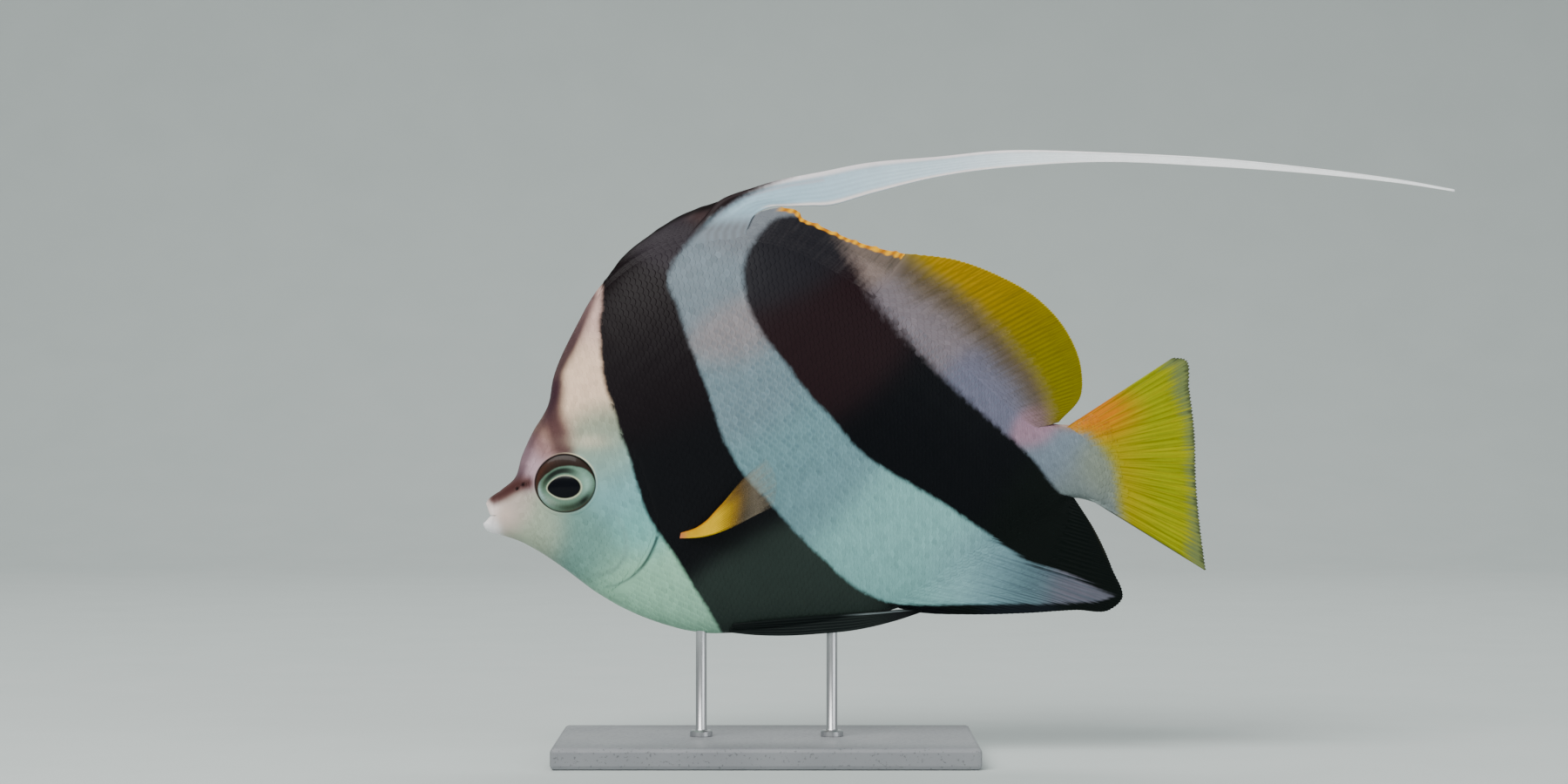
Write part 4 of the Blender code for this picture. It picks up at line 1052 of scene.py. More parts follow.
# The spiny dorsal fin
# Three short spines before the banner and eight behind it, each a stiff bone in a black membrane.
# Behind the banner the tips of the membrane are orange.
DORSAL_FRONT_SPAN = (7.05, 9.03)
DORSAL_FRONT_EDGE = (
    (-37.2, 109.6), (-31.8, 116.4), (-26.2, 120.6), (-19.2, 125.0), (-14.0, 126.9), (-9.6, 128.5),
)
DORSAL_REAR_SPAN = (9.78, 12.50)
GOLDEN_TIPS = 17
DORSAL_REAR_EDGE = (
    (-3.4, 124.4), (0.6, 126.2), (4.6, 126.5), (7.0, 126.0), (8.2, 124.4), (11.4, 122.9), (16.0, 120.8),
    (21.4, 118.6), (27.0, 117.0), (32.2, 115.95),
)
front_spines = fin_form(back_root(DORSAL_FRONT_SPAN), line_curve(DORSAL_FRONT_EDGE),
                        root_thickness(DORSAL_FRONT_SPAN, 5))
rear_spines = fin_form(back_root(DORSAL_REAR_SPAN), line_curve(DORSAL_REAR_EDGE),
                       root_thickness(DORSAL_REAR_SPAN, 5))


def spiny_colour(flat, ray, out, at):
    fine = streaks(at, out, 60, 3)
    dark = washed(dark_tone(flat), "#4C393A", 0.45 * blot(flat, -15.0, 124.2, 4.0, 1.5))
    dark = washed(dark, "#0C0809", 0.85 * smooth_step(0.70, 0.94, out))
    return pale_tone(flat), dark, blackness(flat) + 0.35 * fine


def orange_tipped(flat, ray, out, at):
    """The rear part: streaky where the band ends, with a row of golden tips along its margin."""
    fine = streaks(at, out, 150, 5)
    under_tips = smooth_step(0.30, 0.50, at) * smooth_step(0.30, 0.62, out)
    shaded = under_tips * (0.45 + 0.40 * np.maximum(fine, 0))
    tone = washed(dorsal_tone(flat, ray, out, fine), "#4C443C", shaded)
    dark = washed(dark_tone(flat), "#3C383A", 0.3 * np.maximum(-fine, 0))
    beads = 0.5 + 0.5 * np.cos(at * 2 * math.pi * GOLDEN_TIPS + 2.4 * np.sin(at * 19))
    tip = smooth_step(0.84, 0.90, out + 0.04 * beads) * smooth_step(0.16, 0.22, at)
    gold = washed(np.broadcast_to(linear("#B06A08"), tone.shape), "#F0AC00", beads)
    tip = tip[..., None]
    return tone * (1 - tip) + gold * tip, dark * (1 - tip) + gold * tip, blackness(flat) + 0.14 * fine


fin_mesh("spiny_dorsal_front", front_spines, 3, 40, 0.18, 0.3, False, spiny_colour, ["dorsal_front"],
         free=(True, False), scaled=0.6)
fin_mesh("spiny_dorsal_rear", rear_spines, 8, 40, 0.16, 0.35, False, orange_tipped, ["dorsal_rear"],
         free=(False, False), scaled=0.6)

# The soft dorsal fin
# Twenty-four soft rays, each forked twice, sweep back from a scaled base. The outer part is clear
# yellow, with a brown smudge where the scales end.
SOFT_DORSAL_SPAN = (12.47, 16.97)
SOFT_DORSAL_EDGE = (
    (32.0, 115.95), (43.6, 114.4), (53.4, 110.8), (62.0, 105.8), (68.8, 98.4),
    (72.4, 89.2), (72.2, 83.0), (67.2, 77.1),
)
soft_dorsal = fin_form(back_root(SOFT_DORSAL_SPAN), line_curve(SOFT_DORSAL_EDGE),
                       root_thickness(SOFT_DORSAL_SPAN, 5), sweep=0.65)


def yellow_fin_colour(flat, ray, out, at):
    fine = streaks(at, out, 150, 7)
    return dorsal_tone(flat, ray, out, fine), dark_tone(flat), blackness(flat) + 0.14 * fine


fin_mesh("soft_dorsal_fin", soft_dorsal, 24, 60, 0.11, 0.25, True, yellow_fin_colour, ["soft_dorsal"],
         free=(False, True))

# The anal fin
# Three spines and eighteen soft rays. White skin runs down to a narrow black edge, and the rear band
# covers its rear lobe, so the rays show as fine dark lines only on the white.
ANAL_SPAN = (12.55, 16.97)
ANAL_EDGE = (
    (30.6, 34.2), (34.8, 33.4), (45.4, 32.9), (59.6, 33.2), (71.2, 33.9), (79.0, 34.0), (81.6, 36.2),
    (79.4, 43.6), (75.6, 52.0), (70.8, 59.6),
)
anal_form = fin_form(belly_root(ANAL_SPAN), line_curve(ANAL_EDGE), root_thickness(ANAL_SPAN, 6), sweep=0.55)
ANAL_HEM_FADE = 0.45  # half the width over which the black hem fades


def anal_black(flat):
    """Black of the anal fin: both bands, with no pale skin behind the rear one, and the hem."""
    below, _ = beside_line(ANAL_BLACK_EDGE, flat)
    bands = np.maximum(front_blackness(flat), edge_depth(REAR_BAND_FRONT, flat, 1))
    return np.clip(np.maximum(bands, -below / ANAL_HEM_FADE), -DEPTH_MOST, DEPTH_MOST)


def anal_colour(flat, ray, out, at):
    fine = streaks(at, out, 200, 9)
    rear = smooth_step(44.0, 66.0, flat[..., 0])
    tone = washed(pale_tone(flat), "#34424E", (0.18 + 0.45 * rear) * np.clip(fine * 1.6, 0, 1))
    tone = washed(tone, "#3E4E58", 0.40 * rear * ray * smooth_step(0.12, 0.35, out))
    dark = washed(dark_tone(flat), "#2E2A1C", 0.6 * smooth_step(0.95, 1.0, out) * smooth_step(0.6, 0.8, at))
    return tone, dark, anal_black(flat) + (0.3 + 0.8 * rear) * fine


fin_mesh("anal_fin_membrane", anal_form, 21, 46, 0.16, 0.25, True, anal_colour, ["anal_fin"])

# The tail fin
# Seventeen main rays fan out from the rounded end of the tail root, forking to a thin margin. The
# root is white and scaled, the top of it orange, and the fan clear yellow with a grey hem.
TAIL_EDGE = (
    (93.4, 92.0), (96.2, 91.6), (97.2, 85.0), (98.4, 75.0), (98.8, 63.0), (99.8, 52.0), (101.0, 42.8),
)


def tail_root(share):
    return line_curve(TAIL_ROOT)(share)


def tail_root_half(share):
    return half_width(line_curve(TAIL_ROOT)(np.clip(share, 0.03, 0.97)))


tail_form = fin_form(tail_root, line_curve(TAIL_EDGE), tail_root_half, flared=False)


def tail_colour(flat, ray, out, at):
    fine = streaks(at, out, 190, 13)
    gap, _ = beside_line(drawn(TAIL_YELLOW_LINE, 50), flat)
    gap = gap + 0.8 * fine
    yellow = smooth_step(-2.6, 1.8, gap)
    orange = np.hypot((flat[..., 0] - 73.5) / 9.5, (flat[..., 1] - 79.6) / 5.6)
    depth = np.interp(at, (0.0, 0.12, 0.3, 0.7, 1.0), (0.90, 0.86, 0.93, 0.94, 0.84))
    hem = smooth_step(-0.07, 0.07, out + 0.06 * fine + 0.03 * (1 - ray) - depth)
    lower = smooth_step(0.985, 0.998, at) * smooth_step(0.02, 0.10, out) * (1 - smooth_step(0.75, 0.9, out))
    tone = layered(pale_tone(flat), (
        ("#868E00", yellow),
        ("#9A8600", 0.9 * yellow * (1 - smooth_step(0.1, 0.65, out))),
        ("#B47000", smooth_step(-3.0, 1.0, gap) * (1 - smooth_step(0.50, 1.7, orange))),
        ("#C46C00", 0.9 * yellow * (1 - smooth_step(0.2, 1.1, orange))),
        ("#5A5A00", 0.34 * yellow * ray * smooth_step(0.1, 0.3, out)),
        ("#545000", 0.34 * yellow * np.clip(fine * 1.5, 0, 1)),
        ("#B8A800", 0.30 * yellow * np.clip(-fine * 1.4, 0, 1)),
        ("#5C6A4A", 0.78 * hem),
        ("#2E3226", 0.85 * smooth_step(0.955, 0.988, out + 0.03 * fine) * (0.4 + 0.6 * ray)),
        ("#33382C", 0.8 * lower),
    ))
    return tone, dark_tone(flat), np.full(flat.shape[:-1], -DEPTH_MOST)


fin_mesh("tail_fin", tail_form, 17, 72, 0.09, 0.45, True, tail_colour, ["caudal_fin"],
         scaled=0.2)

# The banner
# The fourth dorsal spine is drawn out into a long white pennant: the spine runs along the upper
# edge, and a thin membrane hangs from it and narrows to a thread.
BANNER_SPAN = (8.90, 9.95)
BANNER_ROOT_HALF = 1.5
# Rows out from the root: x and z of the upper edge, x and z of the lower edge, half thickness.
BANNER = (
    (-14.6, 123.8, -2.8, 124.6, 1.30),
    (-10.4, 128.2, 1.2, 126.5, 1.00),
    (-3.2, 130.9, 5.6, 126.6, 0.75),
    (3.4, 132.8, 10.4, 126.7, 0.60),
    (12.4, 134.5, 15.6, 127.0, 0.45),
    (24.0, 136.7, 25.2, 129.8, 0.34),
    (39.2, 138.0, 39.6, 133.4, 0.28),
    (55.8, 139.5, 56.0, 135.6, 0.26),
    (77.6, 139.0, 77.6, 136.8, 0.26),
    (101.6, 137.8, 101.6, 135.8, 0.26),
    (124.0, 135.6, 124.0, 134.2, 0.24),
    (144.0, 133.0, 144.0, 132.1, 0.22),
    (158.0, 130.5, 158.0, 130.0, 0.14),
)
BANNER_COLUMNS = 44
BANNER_ROWS = 300
BANNER_SPINE = (0.12, 0.07)  # place and width of the spine, in shares of the banner's depth
BANNER_SPINE_RISE = 0.35
BANNER_VEINS = 7
BANNER_VEIN_RISE = 0.03
BANNER_FOOT_PINCH = 0.4
BANNER_TIP_PINCH = 0.5
BANNER_EDGE_THIN = 0.65
BANNER_FOOT_THIN = 0.72  # of its lower edge, where it leaves the body
BANNER_TUCKS = np.array([3.8, 2.5, 1.2])  # how far under the line of the back its first rows lie
banner_across = np.linspace(0, 1, BANNER_COLUMNS + 1)
banner_root = back_root(BANNER_SPAN)(banner_across)
rows_of_banner = ((*banner_root[0], *banner_root[-1], BANNER_ROOT_HALF), *BANNER)
banner_along = np.linspace(0, 1, BANNER_ROWS + 1) ** 1.2 * (len(rows_of_banner) - 1)
banner_along = np.concatenate([0 * BANNER_TUCKS, banner_along])
banner_row = table_curve(rows_of_banner)(banner_along)
share = banner_across[None, :, None]
banner_place = banner_row[:, None, 0:2] * (1 - share) + banner_row[:, None, 2:4] * share
tucks = len(BANNER_TUCKS)
chord = banner_root[0] * (1 - share[0]) + banner_root[-1] * share[0]
banner_place += (banner_root - chord) * np.clip(1 - banner_along, 0, 1)[:, None, None]
banner_place[:tucks, :, 1] -= BANNER_TUCKS[:, None]
spine = hump(banner_across - BANNER_SPINE[0], BANNER_SPINE[1])[None, :] * np.clip(banner_along, 0, 1)[:, None]
vein_places = smooth_step(0.2, 0.4, banner_across)[None, :]
veins = 0.5 + 0.5 * np.cos(banner_across * 2 * math.pi * BANNER_VEINS)[None, :] * vein_places
banner_half = banner_row[:, 4:5] * (1 + BANNER_SPINE_RISE * spine)
banner_half = banner_half + BANNER_VEIN_RISE * veins * np.clip(banner_along, 0, 1)[:, None]
swollen = root_flare(banner_root, banner_root + (0.0, 1.0), np.full(len(banner_root), BANNER_ROOT_HALF))
banner_depth = np.linalg.norm(banner_place - banner_root, axis=-1)
banner_depth[:tucks] *= -1
banner_half += swollen(banner_across[None, :], banner_depth)
# The pennant's edges thin out only where it stands free of its neighbours.
banner_half[:, 0] *= 1 - BANNER_EDGE_THIN * smooth_step(0.3, 1.3, banner_along)
banner_half[:, -1] *= 1 - BANNER_EDGE_THIN * smooth_step(1.2, 2.6, banner_along)
at_body = smooth_step(0.3, 1.2, banner_along) * (1 - smooth_step(2.6, 4.0, banner_along))
banner_half *= 1 - BANNER_FOOT_THIN * at_body[:, None] * smooth_step(0.45, 1.0, banner_across)[None, :]
banner_half[0] -= BANNER_FOOT_PINCH
banner_half[-1] *= BANNER_TIP_PINCH
points, faces = grid_solid(upright(banner_place), ACROSS, banner_half)
out = banner_along[:, None] * np.ones_like(banner_across)
edge = np.broadcast_to(banner_across, out.shape)
tone = layered(pale_tone(banner_place), (
    ("#A6C4D4", smooth_step(0.2, 1.6, out)),
    ("#CFE0EA", 0.9 * smooth_step(4.0, 8.0, out)),
    ("#F0E2E2", 0.85 * (1 - smooth_step(0.06, 0.22, edge)) * smooth_step(0.6, 1.6, out)),
    ("#C9A8AC", 0.35 * hump(edge - 0.24, 0.05) * smooth_step(0.6, 1.6, out) * (out < 5)),
    # A painted highlight: a pale line along the banner's lower edge stands for the lit crest of a fold there,
    # which is not modelled.
    ("#F6E6E0", 0.90 * hump(edge - 0.93, 0.06) * smooth_step(1.5, 2.3, out)),
    ("#FFFFFF", 0.9 * smooth_step(7.0, 9.5, out)),
    ("#8FA2AE", 0.22 * veins * (1 - smooth_step(6.0, 8.0, out))),
))
banner = new_mesh("banner_pennant", points, faces,
                  {"tone": doubled(tone), "dark": doubled(dark_tone(banner_place))},
                  {"black": doubled(front_blackness(banner_place))})
outward_faces(banner)
banner.data.materials.append(fin_membrane)
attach(banner, "root")
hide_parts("banner")

# The pectoral fins
# A short fan on each flank, behind the gill cover. Its fleshy stalk is yellow and orange, and its
# outer half is nearly clear, with fine dark rays.
PECTORAL_UPPER = (
    (-20.2, 51.9), (-18.6, 52.3), (-16.0, 53.1), (-13.2, 55.0), (-11.4, 57.0), (-9.5, 59.1),
    (-7.2, 62.0), (-4.9, 64.8), (-2.3, 67.2), (-0.1, 69.3),
)
PECTORAL_LOWER = (
    (-20.0, 50.9), (-16.5, 50.9), (-12.8, 51.6), (-9.5, 52.8), (-6.3, 54.3), (-3.1, 56.0), (1.6, 58.4),
)
PECTORAL_MARGIN = 1.6  # how far the outer margin bulges beyond the line between its corners
PECTORAL_STANCE = (-0.7, 4.6)  # distance off the body at the root, and of the bend half way
PECTORAL_TIP_OUT = (13.6, 6.0)  # distance off the body at the lower and at the upper corner
PECTORAL_STALK_HALF = 0.62  # more than the film, at the root
PECTORAL_FILM_HALF = 0.09
PECTORAL_MARGIN_HALF = 0.03
PECTORAL_RIDGE = 0.10
PECTORAL_RAYS = 15
PECTORAL_ROWS = 60


def make_pectoral(name, side, replaced):
    at = np.linspace(0, 1, PECTORAL_RAYS * RAY_POINTS + 1)[:, None]
    out = np.linspace(0, 1, PECTORAL_ROWS + 1)[None, :]
    at_grid, far = np.broadcast_arrays(at, out)
    low = line_curve(PECTORAL_LOWER)(out[0])[None]
    high = line_curve(PECTORAL_UPPER)(out[0])[None]
    flat = low * (1 - at[..., None]) + high * at[..., None]
    bulge = PECTORAL_MARGIN * np.sin(math.pi * at_grid) * far**3
    flat = flat + bulge[..., None] * np.array([0.96, 0.28])
    tip_out = PECTORAL_TIP_OUT[0] * (1 - at_grid) + PECTORAL_TIP_OUT[1] * at_grid
    off = PECTORAL_STANCE[0] * (1 - far) ** 2 + 2 * PECTORAL_STANCE[1] * far * (1 - far) + tip_out * far**2
    middle = np.stack([flat[..., 0], side * (half_width(flat[:, :1]) + off), flat[..., 1]], -1)
    normal = np.cross(np.gradient(middle, axis=1), np.gradient(middle, axis=0))
    normal /= np.linalg.norm(normal, axis=-1, keepdims=True)
    ray = ray_pattern(at_grid, far, PECTORAL_RAYS)
    half = PECTORAL_STALK_HALF * (1 - far) ** 1.5 + PECTORAL_FILM_HALF
    half = half + PECTORAL_RIDGE * ray * np.clip(far * 6, 0, 1) * (1 - 0.5 * far)
    half[:, -1] = PECTORAL_MARGIN_HALF
    half[0] *= FREE_END
    half[-1] *= FREE_END
    points, faces = grid_solid(middle, normal, half)
    fine = streaks(at_grid, far, 70, 17)
    reach = far + 0.18 * (1 - at_grid) * far
    tone = layered(np.broadcast_to(linear("#DCB400"), (*far.shape, 3)), (
        ("#C87A4A", 1 - smooth_step(0.03, 0.14, far)),
        ("#C87C08", 0.75 * smooth_step(0.76, 0.98, at_grid) * (1 - smooth_step(0.35, 0.7, far))),
        ("#B08A3A", smooth_step(0.46, 0.74, reach)),
        ("#6A4A34", 0.7 * hump(at_grid - 0.86, 0.14) * hump(far - 0.62, 0.16)),
        ("#B4A890", smooth_step(0.66, 0.88, reach)),
        ("#3E2E1C", 0.85 * hump(at_grid - 0.985, 0.03) * smooth_step(0.5, 0.7, far)),
        ("#3A2810", (0.60 * ray + 0.30 * np.maximum(fine, 0)) * smooth_step(0.22, 0.5, far)),
    ))
    clear = 1 - smooth_step(0.42, 0.80, reach) * (0.97 - 0.42 * ray**1.5 - 0.12 * fine)
    ragged = far + 0.10 * fine + 0.05 * np.sin(at_grid * 40)
    clear = clear * (1 - smooth_step(0.84, 1.0, ragged) * (1 - 0.35 * ray))
    made = new_mesh(name, points, faces, {"tone": doubled(tone)},
                    {"solidness": doubled(np.clip(clear, 0, 1))})
    outward_faces(made)
    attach(made, "root")
    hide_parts(replaced)
    return made


# Clear fin membrane: a film between fine rays, so that the flank shows through its outer half.
clear_membrane, tree = new_material("clear_pectoral_membrane")
tone = add(tree, "ShaderNodeAttribute", {"attribute_name": "tone"}).outputs["Color"]
solid = add(tree, "ShaderNodeAttribute", {"attribute_name": "solidness"}).outputs["Fac"]
place = add(tree, "ShaderNodeTexCoord").outputs["Object"]
grain = add(tree, "ShaderNodeTexNoise", None, {"Vector": place, "Scale": 1800.0, "Detail": 2.0})
level = add(tree, "ShaderNodeMapRange", None, {"Value": grain.outputs["Fac"], "To Min": 0.92, "To Max": 1.08})
colour = add(tree, "ShaderNodeVectorMath", {"operation": "SCALE"}, {0: tone, "Scale": level.outputs[0]})
shader = add(tree, "ShaderNodeBsdfPrincipled", None, {
    "Base Color": colour.outputs[0], "Roughness": 0.35, "IOR": 1.38, "Specular IOR Level": 0.12,
    "Alpha": solid,
})
add(tree, "ShaderNodeOutputMaterial", None, {"Surface": shader.outputs[0]})
for word, side in SIDES:
    make_pectoral("pectoral_fan_" + word, side, "pectoral_" + word).data.materials.append(clear_membrane)

# The pelvic fins
# Two black blades folded back along the belly, each a spine and a few rays under one thin skin.
# They grow from the breast, and their tips lie beside the first spines of the anal fin.
PELVIC_LOWER = (
    (-8.6, 28.9), (-2.0, 28.3), (4.8, 28.2), (13.0, 28.7), (19.2, 29.3), (29.6, 31.6), (35.6, 33.6),
)
PELVIC_UPPER = (
    (-7.6, 31.0), (0.0, 31.8), (10.0, 32.6), (19.2, 33.2), (26.0, 33.6), (32.0, 34.0), (35.6, 34.0),
)
PELVIC_RAYS = 6
PELVIC_ROWS = 90
PELVIC_HALF = 0.34
PELVIC_THINNING = 0.18  # how much thinner it is at the tip
PELVIC_MARGIN_HALF = 0.04
PELVIC_RIDGE = 0.10
PELVIC_OFF_BELLY = 0.55
PELVIC_SPREAD = 2.2  # from the middle plane at the root
PELVIC_CLOSE = 0.7  # how much nearer the middle plane the tips are


def make_pelvic(name, side, replaced):
    at = np.linspace(0, 1, PELVIC_RAYS * RAY_POINTS + 1)
    along = np.linspace(0, 1, PELVIC_ROWS + 1)
    share = at[:, None, None]
    flat = line_curve(PELVIC_LOWER)(along)[None] * (1 - share) + line_curve(PELVIC_UPPER)(along)[None] * share
    spread = PELVIC_SPREAD - PELVIC_CLOSE * along[None, :] ** 3
    at_grid, far = np.broadcast_arrays(at[:, None], along[None, :])
    ray = ray_pattern(at_grid, far, PELVIC_RAYS, fork_from=0.5, fork_again=0.8)
    away = np.maximum(half_width(flat) + PELVIC_OFF_BELLY, spread)
    away = away - 0.5 * (1 - smooth_step(0.0, 0.12, far))
    half = PELVIC_HALF - PELVIC_THINNING * far + PELVIC_RIDGE * ray * (1 - 0.6 * far)
    half[:, -1] = PELVIC_MARGIN_HALF
    half[0] *= 0.5
    half[-1] *= 0.5
    middle = np.stack([flat[..., 0], side * away, flat[..., 1]], -1)
    points, faces = grid_solid(middle, ACROSS, half)
    tone = np.broadcast_to(linear("#9AA6AA"), (*far.shape, 3)).copy()
    dark = washed(dark_tone(flat), "#0A0E10", 0.55 + 0.35 * (1 - ray))
    pale = hump(at_grid - 0.93, 0.05) * smooth_step(0.55, 0.7, far) * (1 - smooth_step(0.88, 0.96, far))
    dark = washed(dark, "#7F8A8C", 0.7 * pale)
    made = new_mesh(name, points, faces, {"tone": doubled(tone), "dark": doubled(dark)},
                    {"black": np.full(len(points), DEPTH_MOST)})
    outward_faces(made)
    made.data.materials.append(fin_membrane)
    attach(made, "root")
    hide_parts(replaced)


for word, side in SIDES:
    make_pelvic("pelvic_blade_" + word, side, "pelvic_" + word)

# The scales
# Thin overlapping plates of bone in the skin, with a rounded free edge towards the tail. They are
# about 2 mm apart on the flank and smaller towards the face, the tail root and out over the fins.
SCALE_ROW = 1.9  # between rows at the deepest part of the body
SCALE_COLUMN = 1.02
SCALE_LONG = 2.35  # length of a scale, in columns, so that each covers the root of the next
SCALE_WIDE = 1.16  # its width, in rows
SCALE_JITTER = (0.006, 0.05)  # in sections along, and in mm up or down
SCALE_SIZE_SPREAD = 0.03
FACE_ENDS = (-42.0, -26.0)  # x from which and to which the flatter scales of the face give way
HEAD_FLATNESS = 0.78  # how much less the scales of the head stand up
# One scale from its root to its free edge: places in shares of its length, and heights in shares of
# its lift. The last point turns down to close the edge.
BACK_PLACES = np.array([-0.50, -0.10, 0.28, 0.48, 0.56, 0.55])
BACK_HEIGHTS = np.array([-0.6, 0.10, 0.62, 0.95, 0.80, -0.7])
ACROSS_PLACES = np.linspace(-1, 1, 7)
SCALE_LIFT = 0.055
SCALE_PARTING = 2.0  # x at which the coat of each side is kept as two pieces
random = np.random.default_rng(11)


def lay_scales(surface, first, second, length, width, lift):
    """Scales as points (scale, back, across), where surface reads places by first and second."""
    nudge = 0.02
    here = surface(first, second)
    along_size = np.linalg.norm(surface(first + nudge, second) - here, axis=-1) / nudge
    across_size = np.linalg.norm(surface(first, second + nudge) - here, axis=-1) / nudge
    back, across = np.meshgrid(BACK_PLACES, ACROSS_PLACES, indexing="ij")
    rounding = np.where(back > 0, 1 - 0.42 * across**2, 1 - 0.25 * across**2)
    narrow = 1 - 0.10 * np.clip(back, 0, 1)
    one = first[:, None, None] + back * rounding * (length / np.maximum(along_size, 1e-6))[:, None, None]
    two = second[:, None, None] + across * narrow / 2 * (width / np.maximum(across_size, 1e-6))[:, None, None]
    points = surface(one, two)
    ahead = surface(one + nudge, two) - surface(one - nudge, two)
    beside = surface(one, two + nudge) - surface(one, two - nudge)
    normal = np.cross(ahead, beside)
    normal /= np.maximum(np.linalg.norm(normal, axis=-1, keepdims=True), 1e-12)
    normal = np.where(normal[..., 1:2] > 0, -normal, normal)
    crowned = BACK_HEIGHTS[None, :, None] - 0.30 * ACROSS_PLACES[None, None, :] ** 2
    return points + normal * (crowned * lift[:, None, None])[..., None], one, two


def scale_faces(count):
    size_back, size_across = len(BACK_PLACES), len(ACROSS_PLACES)
    index = np.arange(size_back * size_across).reshape(size_back, size_across)
    one = np.stack([index[:-1, :-1], index[1:, :-1], index[1:, 1:], index[:-1, 1:]], -1).reshape(-1, 4)
    return (one[None] + np.arange(count)[:, None, None] * size_back * size_across).reshape(-1, 4)


# Rows of scales keep an even distance up and down from the middle line of the flank, drawn together
# a little where the body grows shallow. The table gives the height up for a distance from that line.
TABLE_LONG = 600  # steps of the table from mouth to tail
TABLE_HIGH = 800  # steps from belly to back in working it out
TABLE_REACH = 62  # mm from the middle line
TABLE_FINENESS = 10  # entries in a mm
TABLE_SECTIONS = np.linspace(0, LAST_SECTION, TABLE_LONG + 1)
TABLE_AWAY = np.linspace(-TABLE_REACH, TABLE_REACH, 2 * TABLE_REACH * TABLE_FINENESS + 1)
ups = np.sin(np.linspace(-1, 1, TABLE_HIGH + 1) * math.pi / 2)
table_shape = (TABLE_LONG + 1, TABLE_HIGH + 1)
table_along = TABLE_SECTIONS[:, None] * np.ones(TABLE_HIGH + 1)
table_flat, table_half = flesh(table_along, np.broadcast_to(ups, table_shape))
table_steps = np.hypot(np.linalg.norm(np.diff(table_flat, axis=1), axis=-1), np.diff(table_half, axis=1))
arcs = np.concatenate([np.zeros((TABLE_LONG + 1, 1)), np.cumsum(table_steps, axis=1)], axis=1)
arcs -= arcs[:, TABLE_HIGH // 2 : TABLE_HIGH // 2 + 1]
draw = ((arcs[:, -1] - arcs[:, 0]) / np.max(arcs[:, -1] - arcs[:, 0])) ** 0.35
up_table = np.array([np.interp(TABLE_AWAY * d, a, ups) for d, a in zip(draw, arcs)])


def read_table(table, along, away):
    """The table's entry for places between its own, weighed from the four round each."""
    just_inside = 0.001
    at = np.clip(along / LAST_SECTION * TABLE_LONG, 0, TABLE_LONG - just_inside)
    by = np.clip((away + TABLE_REACH) * TABLE_FINENESS, 0, 2 * TABLE_REACH * TABLE_FINENESS - just_inside)
    i, j = at.astype(int), by.astype(int)
    fi, fj = at - i, by - j
    low = table[i, j] * (1 - fj) + table[i, j + 1] * fj
    high = table[i + 1, j] * (1 - fj) + table[i + 1, j + 1] * fj
    return low * (1 - fi) + high * fi


def flank(along, away):
    """Places on the left side of the plain flesh."""
    flat, half = flesh(np.clip(along, 0, LAST_SECTION), read_table(up_table, along, away))
    return np.stack([flat[..., 0], -half, flat[..., 1]], -1)


def draw_at(along):
    """How much the scales are drawn together, 1 at the deepest part of the body."""
    return np.interp(along, TABLE_SECTIONS, draw)


ROWS_EACH_WAY = 34
fine = np.linspace(0.9, LAST_SECTION - 0.2, 4000)
stride = np.linalg.norm(np.diff(flank(fine, 0 * fine), axis=0), axis=1)
passed = np.concatenate(([0.0], np.cumsum(stride / (SCALE_COLUMN * draw_at(fine[1:])))))
scale_columns = np.interp(np.arange(int(passed[-1])), passed, fine)
first, second = [], []
for number, place_along in enumerate(scale_columns):
    steps = np.arange(-ROWS_EACH_WAY, ROWS_EACH_WAY + 1) + 0.5 * (number % 2)
    first.append(np.full(len(steps), place_along))
    second.append(steps * SCALE_ROW)
first = np.concatenate(first)
second = np.concatenate(second)
first = first + random.normal(0, SCALE_JITTER[0], len(first))
second = second + random.normal(0, SCALE_JITTER[1], len(second))
up_there = read_table(up_table, first, second)
root_flat = flank(first, second)[:, [0, 2]]
slit_gap, slit_share = beside_line(drawn(GILL_SLIT, 60), root_flat)
tail_gap, _ = beside_line(drawn(TAIL_ROOT, 40), root_flat)
pec_gap = np.hypot(*(root_flat - np.mean(PECTORAL_ROOT, axis=0)).T)
# No scale grows on the eye, the pectoral's stalk, the open slit of the gill cover, the snout or the
# fold where the two sides meet, and the tail fin carries its own.
BARE_EYE = 1.24  # in radii of the eye
BARE_STALK = 1.6
BARE_SLIT = (0.2, 1.0)  # mm before the slit, and half the width of the bare strip there
OPEN_FROM = 0.44  # share of the slit from which it is open
BARE_SNOUT_X, BARE_SNOUT_Z, BARE_SNOUT_SLANT = -57.0, 60, 0.25
BARE_FOLD = 0.9985
BARE_TAIL = 0.3
keep = (np.abs(up_there) < BARE_FOLD) & (eye_radius(root_flat) > BARE_EYE) & (pec_gap > BARE_STALK)
keep &= ~((np.abs(slit_gap + BARE_SLIT[0]) < BARE_SLIT[1]) & (slit_share > OPEN_FROM))
snout_end = BARE_SNOUT_X + BARE_SNOUT_SLANT * np.abs(root_flat[:, 1] - BARE_SNOUT_Z)
keep &= (tail_gap < -BARE_TAIL) & (root_flat[:, 0] > snout_end)
first, second, root_flat = first[keep], second[keep], root_flat[keep]
head_part = 1 - smooth_step(*FACE_ENDS, root_flat[:, 0])
size = draw_at(first) * (1 + random.normal(0, SCALE_SIZE_SPREAD, len(first)))
nudge = 0.02
stretch = np.linalg.norm(flank(first + nudge, second) - flank(first, second), axis=-1)
stretch /= np.linalg.norm(flank(first + nudge, 0 * second) - flank(first, 0 * second), axis=-1)
length = SCALE_COLUMN * size * SCALE_LONG * np.clip(stretch, 0.7, 1.6)
width = SCALE_ROW * size * SCALE_WIDE
lift = SCALE_LIFT * size * (1 - HEAD_FLATNESS * head_part)


def coated(points):
    """Lifts points of the plain flesh to the skin's relief, with its room for scales."""
    flat = points[..., [0, 2]]
    return points - ACROSS * (relief(flat) + SKIN_UNDER * 0.6)[..., None]


body_scales = coated(lay_scales(flank, first, second, length, width, lift)[0])


